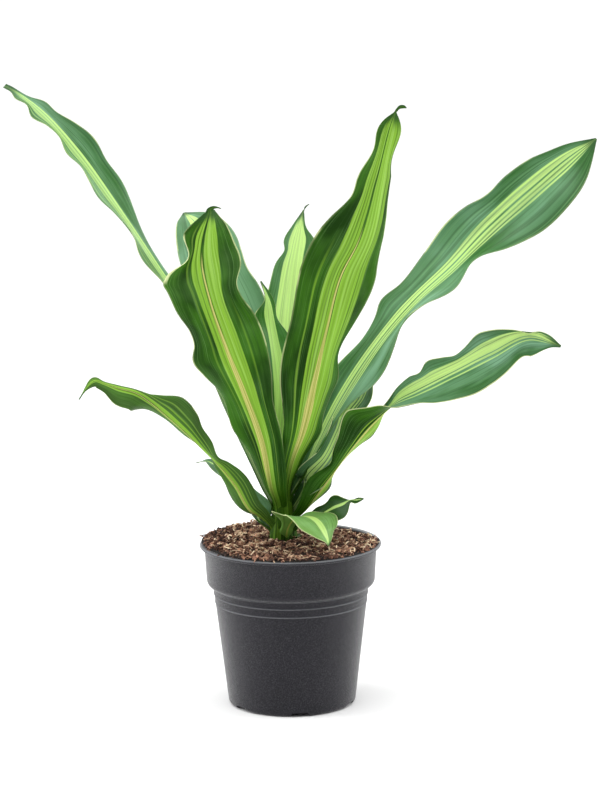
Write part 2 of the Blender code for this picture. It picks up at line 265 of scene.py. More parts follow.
# %% Turned pot
RIM_RADIUS = 85 * MM
POT_HEIGHT = 153 * MM
LIP_HEIGHT = 3 * MM
BAND_RADIUS = 80.7 * MM
BAND_BOTTOM_RADIUS = 78.9 * MM
SHOULDER_HEIGHT = 113 * MM
WAIST_RADIUS = 73 * MM
FOOT_RADIUS = 60 * MM
FOOT_ROUND = 4 * MM
WALL = 1.5 * MM
FLOOR = 1.8 * MM
FOOT_RING_TOP = 5.4 * MM
FOOT_RING_INNER = 46 * MM
RING_HEIGHTS = (105.5 * MM, 97.5 * MM)
RING_RELIEF = 0.55 * MM
RING_HALF_WIDTH = 0.6 * MM
BEAD_RELIEF = 1.0 * MM
BEAD_HALF_WIDTH = 0.6 * MM
NOTCH_COUNT = 6
NOTCH_BEARING = 277.0
NOTCH_WIDTH = 20 * MM
NOTCH_HEIGHT = 3.6 * MM
NOTCH_SLANT = 3 * MM
DRAIN_RADIUS = 4 * MM
DRAIN_CIRCLE = 34 * MM
POT_STEPS = 144


def arc(centre, radii, start, end, steps):
    """Points on a quarter or part of an ellipse, in degrees from +R towards +Z."""
    angles = [math.radians(start + (end - start) * k / steps) for k in range(steps + 1)]
    return [(centre[0] + radii[0] * math.cos(a), centre[1] + radii[1] * math.sin(a)) for a in angles]


def wall_radius(z):
    return FOOT_RADIUS + (WAIST_RADIUS - FOOT_RADIUS) * (z - FOOT_ROUND) / (SHOULDER_HEIGHT - FOOT_ROUND)


def pot_outline():
    """From the centre of the underside, up the outside, over the lip and down the inside to the floor."""
    points = [(0.0, 0.0), (FOOT_RING_INNER, 0.0)]
    points += arc((FOOT_RADIUS - FOOT_ROUND, FOOT_ROUND), (FOOT_ROUND, FOOT_ROUND), -90, 0, 6)
    for height in reversed(RING_HEIGHTS):
        for k in range(-4, 5):
            z = height + k / 4 * RING_HALF_WIDTH
            points.append((wall_radius(z) + RING_RELIEF * math.cos(k / 4 * math.pi / 2), z))
    points.append((WAIST_RADIUS - 0.4 * MM, SHOULDER_HEIGHT - 2.6 * BEAD_HALF_WIDTH))
    points += arc((WAIST_RADIUS - 0.2 * MM, SHOULDER_HEIGHT - BEAD_HALF_WIDTH), (BEAD_RELIEF, BEAD_HALF_WIDTH), -90, 60, 6)
    bulge = BAND_BOTTOM_RADIUS - WAIST_RADIUS
    points += arc((WAIST_RADIUS, SHOULDER_HEIGHT + bulge), (bulge, bulge), -78, 0, 8)
    lip_bottom = POT_HEIGHT - LIP_HEIGHT
    soft = LIP_HEIGHT / 2
    points += [(BAND_RADIUS, lip_bottom - 0.6 * MM), (BAND_RADIUS + 0.5 * MM, lip_bottom)]
    points += arc((RIM_RADIUS - soft, lip_bottom + soft), (soft, soft), -90, 90, 8)
    points += arc((BAND_RADIUS - WALL + 1.2 * MM, POT_HEIGHT - 1 * MM), (1 * MM, 1 * MM), 90, 180, 3)
    step = BAND_BOTTOM_RADIUS - WALL
    points += [(step, SHOULDER_HEIGHT + 6 * MM), (step - 2 * MM, SHOULDER_HEIGHT + 3 * MM),
               (WAIST_RADIUS - WALL, SHOULDER_HEIGHT), (FOOT_RADIUS - WALL, 9 * MM),
               (FOOT_RADIUS - 4.5 * MM, FOOT_RING_TOP), (FOOT_RING_INNER, FOOT_RING_TOP),
               (FOOT_RING_INNER - 2 * MM, FLOOR), (0.0, FLOOR)]
    return points


def turned(name, outline, steps):
    """Turn an outline about +Z, with the solid on its left, into a closed mesh."""
    points = []
    rings = []
    for r, z in outline:
        first = len(points)
        if r < 1e-9:
            points.append((0.0, 0.0, z))
            rings.append([first] * steps)
            continue
        points += [(r * math.cos(2 * math.pi * k / steps), r * math.sin(2 * math.pi * k / steps), z)
                   for k in range(steps)]
        rings.append(list(range(first, first + steps)))
    faces = []
    for low, high in zip(rings, rings[1:]):
        for k in range(steps):
            n = (k + 1) % steps
            face = list(dict.fromkeys((low[k], low[n], high[n], high[k])))
            if len(face) > 2:
                faces.append(face)
    mesh = bpy.data.meshes.new(name)
    mesh.from_pydata(points, [], faces)
    return mesh


def placed(name, mesh, finish=None):
    """A new object for a mesh whose points are already where they belong."""
    thing = bpy.data.objects.new(name, mesh)
    bpy.context.scene.collection.objects.link(thing)
    if finish:
        mesh.materials.append(finish)
    return thing


def settled(thing):
    """The object with its modifiers applied: the evaluated mesh takes the place of the first one."""
    graph = bpy.context.evaluated_depsgraph_get()
    graph.update()
    mesh = bpy.data.meshes.new_from_object(thing.evaluated_get(graph))
    thing.modifiers.clear()
    thing.data = mesh
    return thing


# %% Notches and drain holes
def cutter_mesh():
    """A slanted block for each foot notch and a round bar for each drain hole."""
    work = bmesh.new()
    half = NOTCH_WIDTH / 2
    under = -1 * MM
    widen = NOTCH_SLANT * (NOTCH_HEIGHT - under) / NOTCH_HEIGHT
    outline = [(half - NOTCH_SLANT + widen, under), (half - NOTCH_SLANT, NOTCH_HEIGHT),
               (NOTCH_SLANT - half, NOTCH_HEIGHT), (NOTCH_SLANT - half - widen, under)]
    for k in range(NOTCH_COUNT):
        bearing = math.radians(NOTCH_BEARING + 360 * k / NOTCH_COUNT)
        out = Vector((math.cos(bearing), math.sin(bearing), 0))
        side = Vector((-math.sin(bearing), math.cos(bearing), 0))
        ends = []
        for reach in (FOOT_RING_INNER + 4 * MM, FOOT_RADIUS + 4 * MM):
            ends.append([work.verts.new(out * reach + side * x + Vector((0, 0, z))) for x, z in outline])
        work.faces.new(ends[0])
        work.faces.new(ends[1])
        for a in range(4):
            b = (a + 1) % 4
            work.faces.new((ends[0][a], ends[0][b], ends[1][b], ends[1][a]))
        hole = Matrix.Translation(out * DRAIN_CIRCLE + Vector((0, 0, FLOOR / 2)))
        bmesh.ops.create_cone(work, cap_ends=True, segments=32, radius1=DRAIN_RADIUS, radius2=DRAIN_RADIUS,
                              depth=3 * FLOOR, matrix=hole)
    bmesh.ops.recalc_face_normals(work, faces=work.faces)
    mesh = bpy.data.meshes.new("pot_cutter")
    work.to_mesh(mesh)
    work.free()
    return mesh


# %% [markdown]
# The plastic is carbon-dark, with a fine spark-eroded grain that scatters what it mirrors. A very small
# noise bump gives the grain, and a slow noise moves the roughness so that broad areas don't look sprayed.

# %% Pot plastic
def pot_plastic():
    finish, tree, shader = new_material("dark_pot_plastic")
    where = tree.node("ShaderNodeTexCoord")["Object"]
    height = tree.node("ShaderNodeSeparateXYZ", None, {"Vector": where})["Z"]
    grain = tree.noise(where, 2600.0, 3.0, 0.6)
    cloud = tree.noise(where, 28.0, 3.0)
    speck = tree.noise(where, 1100.0, 3.0, 0.7).above(0.42, 0.72)
    colour = tree.mix(cloud, srgb(17, 17, 23), srgb(27, 26, 33))
    colour = tree.mix(speck * 0.45, colour, srgb(80, 78, 84))
    # Painted highlight: the top of the lip and the crests of the rings and the bead turn paler, as if a lamp caught
    # them.
    painted_highlight = height.above(POT_HEIGHT - 1.6 * MM, POT_HEIGHT - 0.5 * MM) * 1.4
    for crest in RING_HEIGHTS + (SHOULDER_HEIGHT - BEAD_HALF_WIDTH,):
        painted_highlight = painted_highlight + (height - crest - 0.2 * MM).absolute().above(0.7 * MM, 0.3 * MM)
    colour = tree.mix(painted_highlight * 0.6, colour, srgb(112, 114, 118))
    relief = tree.node("ShaderNodeBump", None, {"Strength": 0.4, "Distance": 0.0003, "Height": grain + speck})["Normal"]
    plug(tree, shader, Base_Color=colour, Roughness=cloud * 0.12 + 0.42, Normal=relief)
    plug(tree, shader, Specular_IOR_Level=0.20, Sheen_Weight=0.52, Sheen_Roughness=0.36)
    return finish


pot = placed("pot_finish", turned("pot_finish", pot_outline(), POT_STEPS), pot_plastic())
cutter = placed("pot_cutter", cutter_mesh())
cut = pot.modifiers.new("notches", "BOOLEAN")
cut.operation = "DIFFERENCE"
cut.solver = "EXACT"
cut.object = cutter
settled(pot)
bpy.data.objects.remove(cutter)
pot.data.shade_smooth()
pot.data.set_sharp_from_angle(angle=math.radians(40))
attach(pot, "root")
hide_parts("pot")
print("pot:", len(pot.data.polygons), "faces")

# %% [markdown]
# ## Soil
# Potting soil is peat and coir: dark crumbs, brown fibres lying every way, and a few pale straws. The
# body of it is one turned plug whose top is raised by noise. The litter on top repeats hundreds of
# times, so Geometry Nodes scatter it over the surface with a fixed seed.

# %% Soil body
SOIL_RIM_LEVEL = 153.4 * MM
SOIL_MOUND = 2.4 * MM
SOIL_BUMP = 1.5 * MM
SOIL_HEAP = 2.4 * MM
HEAP_BEARING = 160.0
SOIL_DIP = 5.0 * MM
DIP_BEARING = 40.0
DIP_SPREAD = 26.0
SOIL_SPILL = 83.4 * MM
SOIL_STEPS = 168
STEM_X = -7 * MM
STEM_RADIUS = 10 * MM


def dipped(angle):
    """1 where the soil has sunk below the lip, at the back right, and 0 on the other sides."""
    away = math.degrees(angle) - DIP_BEARING
    away = (away + 180) % 360 - 180
    return math.exp(-((away / DIP_SPREAD) ** 4))


def soil_top(x, y):
    """The height of the soil's surface: a low mound, soft lumps and fine crumbs."""
    r = math.hypot(x, y)
    angle = math.atan2(y, x)
    out = (r / BAND_RADIUS) ** 2
    mound = SOIL_MOUND * math.exp(-((r / (46 * MM)) ** 2))
    heap = SOIL_HEAP * max(0.0, math.cos(angle - math.radians(HEAP_BEARING))) * out * max(0.0, 1.35 - r / BAND_RADIUS)
    u, v = x / MM, y / MM
    lumps = math.sin(0.21 * u + 1.3) * math.cos(0.17 * v - 0.4) + 0.6 * math.sin(0.43 * u - 0.31 * v + 2.1)
    lumps += 0.5 * math.cos(0.38 * v + 0.29 * u)
    crumbs = noise.fractal(Vector((u, v, 0)) * 0.35, 0.9, 2.2, 4) * 1.1 * MM
    calm = min(1.0, max(0.0, (BAND_RADIUS - r) / (10 * MM)))
    level = SOIL_RIM_LEVEL + mound + 2.4 * heap + calm * (SOIL_BUMP * 0.7 * lumps + crumbs)
    return level - SOIL_DIP * dipped(angle) * out**1.5


def inside_lip():
    return BAND_RADIUS - WALL - 0.5 * MM


def soil_rings(work, share):
    """The open top of the soil out to a share of its reach: a middle point and its rings."""
    centre = work.verts.new((0, 0, soil_top(0, 0)))
    rings = []
    for row in range(1, 49):
        ring = []
        for k in range(SOIL_STEPS):
            a = 2 * math.pi * k / SOIL_STEPS
            r = share * (SOIL_SPILL + (inside_lip() - SOIL_SPILL) * dipped(a)) * (row / 48) ** 0.9
            x, y = r * math.cos(a), r * math.sin(a)
            ring.append(work.verts.new((x, y, soil_top(x, y))))
        rings.append(ring)
    for k in range(SOIL_STEPS):
        work.faces.new((centre, rings[0][k], rings[0][(k + 1) % SOIL_STEPS]))
    return rings


def skinned(work, name, rings):
    """Faces between neighbouring rings, and the mesh that comes of them."""
    for inner, outer in zip(rings, rings[1:]):
        for k in range(SOIL_STEPS):
            n = (k + 1) % SOIL_STEPS
            work.faces.new((inner[k], outer[k], outer[n], inner[n]))
    mesh = bpy.data.meshes.new(name)
    work.to_mesh(mesh)
    work.free()
    return mesh


def soil_mesh():
    """The top, out over the lip, then down inside the wall and under to a flat foot."""
    inside = [(BAND_BOTTOM_RADIUS - WALL - 0.4 * MM, SHOULDER_HEIGHT + 6.3 * MM),
              (WAIST_RADIUS - WALL - 0.4 * MM, SHOULDER_HEIGHT + 0.4 * MM),
              (FOOT_RADIUS - WALL - 0.4 * MM, 9.4 * MM), (FOOT_RADIUS - 5 * MM, FOOT_RING_TOP + 0.4 * MM)]
    work = bmesh.new()
    rings = soil_rings(work, 1.0)
    angles = [2 * math.pi * k / SOIL_STEPS for k in range(SOIL_STEPS)]
    rings.append([work.verts.new((inside_lip() * math.cos(a), inside_lip() * math.sin(a),
                                  POT_HEIGHT + 0.1 * MM - (SOIL_DIP + 2 * MM) * dipped(a))) for a in angles])
    for r, z in inside:
        rings.append([work.verts.new((r * math.cos(a), r * math.sin(a), z)) for a in angles])
    work.faces.new(list(reversed(rings[-1])))
    return skinned(work, "soil_body", rings)


def litter_ground(share):
    """The open top alone, for the litter to grow on."""
    work = bmesh.new()
    return skinned(work, "litter_ground", soil_rings(work, share))


# %% Soil finishes
def soil_paint(name, dark, middle, light, tone_name=None):
    """Rough brown matter. On crumbs and fibres, noise patches of painted shade darken them as if they lay in dips
    between lumps, and a stored tone moves each crumb or fibre on its own.
    """
    finish, tree, shader = new_material(name)
    where = tree.node("ShaderNodeTexCoord")["Object"]
    cloud = tree.noise(where, 240.0, 4.0, 0.65)
    fine = tree.noise(where, 1500.0, 3.0, 0.6)
    share = cloud * 0.7 + fine * 0.5 - 0.1
    if tone_name:
        # Painted shade: noise darkens patches of the litter, standing in for the shadow in dips between lumps.
        painted_hollow_shade = tree.noise(where, 105.0, 2.0, 0.5).above(0.38, 0.50)
        share = (tree.attribute(tone_name) ** 1.3 * 1.1 + fine * 0.5 - 0.18) * (painted_hollow_shade * 0.85 + 0.15)
    colour = tree.mix(share, dark, tree.mix(share * share, middle, light))
    relief = tree.node("ShaderNodeBump", None, {"Strength": 0.6, "Distance": 0.0006, "Height": fine + cloud})["Normal"]
    plug(tree, shader, Base_Color=colour, Roughness=0.9, Normal=relief)
    return finish


soil_finish = soil_paint("peat", srgb(4, 2, 1), srgb(22, 11, 8), srgb(34, 18, 12))
crumb_finish = soil_paint("crumbs", srgb(8, 4, 2), srgb(156, 104, 84), srgb(212, 162, 132), "tone")
fibre_finish = soil_paint("coir", srgb(36, 17, 11), srgb(214, 144, 112), srgb(255, 232, 196), "tone")
soil = placed("soil_body", soil_mesh(), soil_finish)
soil.data.shade_smooth()


# %% Litter scattered with Geometry Nodes
class Garden(Tree):
    """A Geometry Nodes tree with named inputs."""

    def __init__(self, name):
        super().__init__(bpy.data.node_groups.new(name, "GeometryNodeTree"))
        self.tree.interface.new_socket("Geometry", in_out="INPUT", socket_type="NodeSocketGeometry")
        self.tree.interface.new_socket("Geometry", in_out="OUTPUT", socket_type="NodeSocketGeometry")
        self.entry = None
        self.sizes = {}

    def size(self, name, value, kind="NodeSocketFloat"):
        socket = self.tree.interface.new_socket(name, in_out="INPUT", socket_type=kind)
        self.sizes[name] = (socket.identifier, value)

    def open(self):
        self.entry = self.node("NodeGroupInput")
        return self.entry

    def random(self, low, high, seed, kind="FLOAT"):
        made = self.node("FunctionNodeRandomValue", {"data_type": kind})
        inputs = {"FLOAT": (2, 3), "FLOAT_VECTOR": (0, 1)}[kind]
        made.node.inputs[inputs[0]].default_value = low
        made.node.inputs[inputs[1]].default_value = high
        made.node.inputs["Seed"].default_value = seed
        return Port(self, made.node.outputs[{"FLOAT": 1, "FLOAT_VECTOR": 0}[kind]])

    def close(self, geometry, finish):
        whole = self.node("GeometryNodeRealizeInstances", None, {"Geometry": geometry})["Geometry"]
        painted = self.node("GeometryNodeSetMaterial", None, {"Geometry": whole, "Material": finish})["Geometry"]
        self.node("NodeGroupOutput", None, {"Geometry": painted})

    def run(self, name, ground):
        """Grow on a mesh and hand back what grew as a plain object."""
        thing = placed(name, ground)
        grower = thing.modifiers.new(name, "NODES")
        grower.node_group = self.tree
        for identifier, value in self.sizes.values():
            grower[identifier] = value
        return settled(thing)


def scatter(garden, seed):
    points = garden.node("GeometryNodeDistributePointsOnFaces", None,
                         {"Mesh": garden.entry["Geometry"], "Density": garden.entry["Density"], "Seed": seed})
    return points["Points"]


def toned(garden, instances, seed):
    """Give each instance a tone of its own, which its shader reads."""
    tone = garden.random(0.0, 1.0, seed)
    return garden.node("GeometryNodeStoreNamedAttribute", {"data_type": "FLOAT", "domain": "INSTANCE"},
                       {"Geometry": instances, "Name": "tone", "Value": tone})["Geometry"]


# %% Crumbs
def crumb_garden():
    """Lumpy bits of peat: a coarse ball pushed about by noise, turned and stretched at random."""
    garden = Garden("crumbs")
    garden.size("Density", 62000.0)
    garden.size("Crumb radius", 2.6 * MM)
    entry = garden.open()
    ball = garden.node("GeometryNodeMeshUVSphere", None,
                       {"Radius": entry["Crumb radius"], "Segments": 7, "Rings": 5})["Mesh"]
    place = garden.node("GeometryNodeInputPosition")["Position"]
    push = garden.node("ShaderNodeTexNoise", None, {"Vector": place, "Scale": 900.0, "Detail": 1.0})["Color"]
    middle = garden.node("ShaderNodeVectorMath", {"operation": "SUBTRACT"}, {0: push, 1: (0.5, 0.5, 0.5)})["Vector"]
    shift = garden.node("ShaderNodeVectorMath", {"operation": "SCALE"}, {0: middle, "Scale": 4.2 * MM})["Vector"]
    lump = garden.node("GeometryNodeSetPosition", None, {"Geometry": ball, "Offset": shift})["Geometry"]
    turned_by = garden.random((0.0, 0.0, 0.0), (6.28, 6.28, 6.28), 3, "FLOAT_VECTOR")
    grown = garden.random((0.25, 0.25, 0.15), (1.5, 0.95, 0.75), 4, "FLOAT_VECTOR")
    crumbs = garden.node("GeometryNodeInstanceOnPoints", None,
                         {"Points": scatter(garden, 11), "Instance": lump, "Rotation": turned_by,
                          "Scale": grown})["Instances"]
    garden.close(toned(garden, crumbs, 5), crumb_finish)
    return garden


crumbs = crumb_garden().run("soil_crumbs", litter_ground(0.985))
print("crumbs:", len(crumbs.data.polygons), "faces")


# %% Fibres
def fibre_garden():
    """Bent threads of coir: an arc with a thin three-sided profile, laid flat and turned at random."""
    garden = Garden("fibres")
    garden.size("Density", 105000.0)
    garden.size("Fibre radius", 0.50 * MM)
    entry = garden.open()
    bends = []
    for start, middle, end in (((-3.5, 0, 0), (0, 4.2, 2.4), (3.5, 0, 0)), ((-5.5, 0, 0), (0, -2.6, 1.6), (5.5, 1.5, 0.4)),
                               ((-2.4, 0, 0), (0, 2.4, 4.2), (2.6, 0.4, 0)), ((-7, 0, 0.4), (0, 0.8, 1.2), (7, -0.6, 0))):
        arc_made = garden.node("GeometryNodeCurveQuadraticBezier", None,
                               {"Resolution": 6, "Start": Vector(start) * MM, "Middle": Vector(middle) * MM,
                                "End": Vector(end) * MM})["Curve"]
        ring = garden.node("GeometryNodeCurvePrimitiveCircle", None, {"Resolution": 4, "Radius": entry["Fibre radius"]})["Curve"]
        thread = garden.node("GeometryNodeCurveToMesh", None,
                             {"Curve": arc_made, "Profile Curve": ring, "Fill Caps": True})["Mesh"]
        bends.append(garden.node("GeometryNodeGeometryToInstance", None, {"Geometry": thread})["Instances"])
    kinds = garden.node("GeometryNodeGeometryToInstance")
    for bend in reversed(bends):
        garden.tree.links.new(bend.socket, kinds.node.inputs[0])
    turned_by = garden.random((-0.9, -0.5, 0.0), (0.9, 0.5, 6.28), 7, "FLOAT_VECTOR")
    grown = garden.random((0.5, 0.6, 0.6), (1.4, 1.5, 1.5), 8, "FLOAT_VECTOR")
    lifted = garden.node("GeometryNodeSetPosition", None,
                         {"Geometry": scatter(garden, 23), "Offset": (0.0, 0.0, 0.7 * MM)})["Geometry"]
    fibres = garden.node("GeometryNodeInstanceOnPoints", None,
                         {"Points": lifted, "Instance": kinds["Instances"], "Pick Instance": True,
                          "Rotation": turned_by, "Scale": grown})["Instances"]
    garden.close(toned(garden, fibres, 9), fibre_finish)
    return garden


fibres = fibre_garden().run("soil_fibres", litter_ground(0.94))
print("fibres:", len(fibres.data.polygons), "faces")
for piece in (soil, crumbs, fibres):
    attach(piece, "root")
    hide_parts("soil")

# %% [markdown]
# ## Leaves
# A dracaena leaf is a long strap that clasps the stem with a folded foot, opens into a channelled blade
# and ends in a drip tip. Its margins grow faster than its middle, so they wave. Each blade is a grid of
# points: the midrib is a smooth curve through a few places, and a fold, a twist and the waves set how
# the blade lies across it. The table is the same as the solids', so every blade covers its own solid.

# %% Leaf table
STEM_TOP = 224 * MM
STEM_TOP_RADIUS = 3.4 * MM
STEM_TAPER_START = 155 * MM
GAP = 0.3 * MM
BASE_HALF_WIDTH = 8 * MM
BASE_THICKNESS = 1.6 * MM
MARGIN_THICKNESS = 0.5 * MM
BLADE_THICKNESS = 0.9 * MM
BASE_FOLD = 52.0
BLADE_FOLD = 20.0
SHEATH_BOTTOM = 146 * MM
SHEATH_LENGTH = 34 * MM
SHEATH_SPREAD = 4.5 * MM
SHEATH_HALF_WIDTH = 12 * MM
SHEATH_LAYERS = 13

LEAVES = {
    "leaf_front_small": {
        "bearing": 285, "foot": 157, "lean": 18, "collar": 12, "bends_over": True,
        "points": [(2, -22, 179, 11, 8, 30), (11, -34, 185, 20, 12, 20), (20, -44, 185, 25, 14, 15),
                   (26, -51, 181, 23, 14, 15), (31, -56, 174, 16, 12), (34, -57, 167, 7, 8), (35, -57, 162, 1, 0)],
        "waves": [(2.0, 3.2, 0.24), (1.2, 2.9, 0.20)],
    },
    "leaf_right_small": {
        "bearing": 350, "foot": 162, "lean": 42, "collar": 14,
        "points": [(30, -12, 182, 12, 30, 40), (42, -22, 191, 15, 50, 40), (49, -28, 195, 12, 60, 30),
                   (56, -34, 200, 1.5, 60), (62, -38, 201, 3, 60), (68, -42, 203, 0.6, 60)],
        "waves": [(2.0, 2.8, 0.67), (1.5, 3.1, 0.15)],
    },
    "leaf_left_lowest": {
        "bearing": 165, "foot": 161, "lean": 46, "collar": 18,
        "points": [(-30, 16, 185, 14, 0), (-44, 26, 199, 14, 0), (-58, 38, 211, 13, -5), (-71, 50, 217, 10, -10),
                   (-80, 60, 219, 3, -10), (-89, 70, 215, 1, -10)],
        "waves": [(1.2, 3.0, 0.60), (1.2, 3.0, 0.00)],
    },
    "leaf_left_low": {
        "bearing": 200, "foot": 165, "lean": 40, "collar": 20,
        "points": [(-36, -12, 186, 11, 45, 60), (-51, -18, 212, 14, 68, 60), (-63, -22, 229, 13, 55, 40),
                   (-70, -25, 238, 12, 8, 30), (-80, -28, 249, 13, 8, 80), (-91, -32, 261, 16, 30, 80),
                   (-111, -38, 281, 18, 36, 80), (-127, -44, 296, 15, 60, 60), (-140, -49, 305, 14, 115, 60),
                   (-156, -52, 310, 15, 140, 60), (-168, -55, 315, 7, 140, 60), (-176, -57, 318, 5, 130, 40),
                   (-184, -59, 312, 1.4, 120), (-191, -60, 302, 0.6, 120)],
        "waves": [(1.5, 2.4, 0.83), (1.5, 2.0, 0.23)],
    },
    "leaf_right_low": {
        "bearing": 345, "foot": 170, "lean": 38, "collar": 22,
        "points": [(30, -10, 207, 14, -45, 50), (45, -16, 229, 11, -25, 80), (58, -21, 247, 19, -25, 75),
                   (75, -28, 268, 26, -44, 46), (90, -35, 285, 17, 0, 50), (102, -40, 295, 23, 40, 30),
                   (116, -46, 303, 27, 58), (150, -57, 322, 24, 68), (184, -65, 341, 22, 80), (219, -73, 358, 12, 85),
                   (246, -81, 350, 1, 85)],
        "waves": [(1.5, 3.0, 0.80), (1.5, 2.9, 0.74)],
    },
    "leaf_right_inner": {
        "bearing": 20, "foot": 175, "lean": 33, "collar": 24,
        "points": [(20, 0, 212, 16, 60, 40), (36, 3, 231, 13, 60, 35), (47, 14, 251, 12, 45, 30), (57, 38, 269, 13, 25),
                   (67, 54, 279, 13, 15), (73, 68, 289, 10, 0), (76, 84, 303, 6, -10), (77, 96, 316, 1, -5)],
        "waves": [(1.8, 3.1, 0.65), (1.7, 3.4, 0.45)],
    },
    "leaf_left_high": {
        "bearing": 150, "foot": 181, "lean": 28, "collar": 26,
        "points": [(-63, 33, 291, 23, 10), (-92, 52, 358, 28, 10), (-127, 70, 412, 28, 10), (-163, 86, 464, 26, 5),
                   (-199, 103, 512, 21, -5), (-236, 119, 551, 11, -10), (-260, 129, 567, 5, -20),
                   (-268, 132, 571, 2.5, -40)],
        "waves": [(6.0, 2.0, 0.65), (2.5, 2.5, 0.30)],
    },
    "leaf_front_left": {
        "bearing": 240, "foot": 186, "lean": 28, "collar": 26,
        "points": [(-26, -34, 258, 20, 15), (-41, -56, 307, 29, 20), (-55, -82, 350, 33, 25), (-69, -110, 400, 31, 30),
                   (-75, -137, 438, 31, 35), (-73, -160, 461, 24, 40), (-66, -186, 488.5, 5.5, 40)],
        "waves": [(3.0, 5.0, 0.50), (1.6, 3.0, 0.53)],
    },
    "leaf_right_long": {
        "bearing": 18, "foot": 191, "lean": 28, "collar": 26,
        "points": [(52, 36, 286, 25, 15), (92, 60, 340, 31, 10), (120, 74, 369, 33, 10), (157, 88, 400, 33, 20),
                   (194, 101, 436, 31, 45), (232, 114, 468, 27, 60), (269, 130, 496, 17, 60), (297.5, 147, 513, 1, 55)],
        "waves": [(3.9, 4.4, 0.36), (4.3, 2.1, 0.98)],
    },
    "leaf_back_left": {
        "bearing": 118, "foot": 197, "lean": 24, "collar": 26,
        "points": [(-31, 43, 300, 28, -10), (-46, 66, 349, 32, -15), (-60, 91, 383, 30, -20), (-74, 122, 415, 28, -20),
                   (-88, 152, 435, 18, -15), (-101, 182, 441, 1, -15)],
        "waves": [(1.5, 2.9, 0.42), (1.2, 3.0, 0.52)],
    },
    "leaf_front_tall": {
        "bearing": 305, "foot": 203, "lean": 16, "collar": 26,
        "points": [(12, -23, 262, 21, -5), (24, -35, 313, 32, -5), (35, -44, 362, 37, -8), (49, -56, 415, 39, -10),
                   (63, -67, 444, 37, -8), (80, -82, 503, 21, -5), (94, -96, 557, 6, -5), (97, -104, 565, 1.2, -5)],
        "waves": [(4.6, 3.0, 0.26), (4.4, 2.6, 0.26)],
    },
    "leaf_back_centre": {
        "bearing": 80, "foot": 208, "lean": 20, "collar": 24,
        "points": [(-5, 28, 302, 23, 0), (-3, 47, 347, 24, 0), (1, 66, 382, 20, 0), (8, 89, 421, 12, 0),
                   (15, 111, 450, 1, 0)],
        "waves": [(1.0, 3.0, 0.10), (1.1, 3.0, 0.28)],
    },
    "leaf_inner_young": {
        "bearing": 110, "foot": 215, "lean": 5, "collar": 24,
        "points": [(-8, 8, 306, 20, 0), (-15, 12, 353, 13, 5), (-19, 15, 380, 6, 5), (-25, 14, 398, 1, 5)],
        "waves": [(1.5, 3.0, 0.33), (2.0, 3.1, 0.20)],
    },
}


# %% [markdown]
# A leaf's margin isn't a ruled line: it grows in crimps that no two leaves share. Each margin has a short
# list of the places where it strays most from the plain outline, measured on the photograph: how far
# along, how many millimetres further out, and how many higher. The first list is for the side whose
# across value is positive.

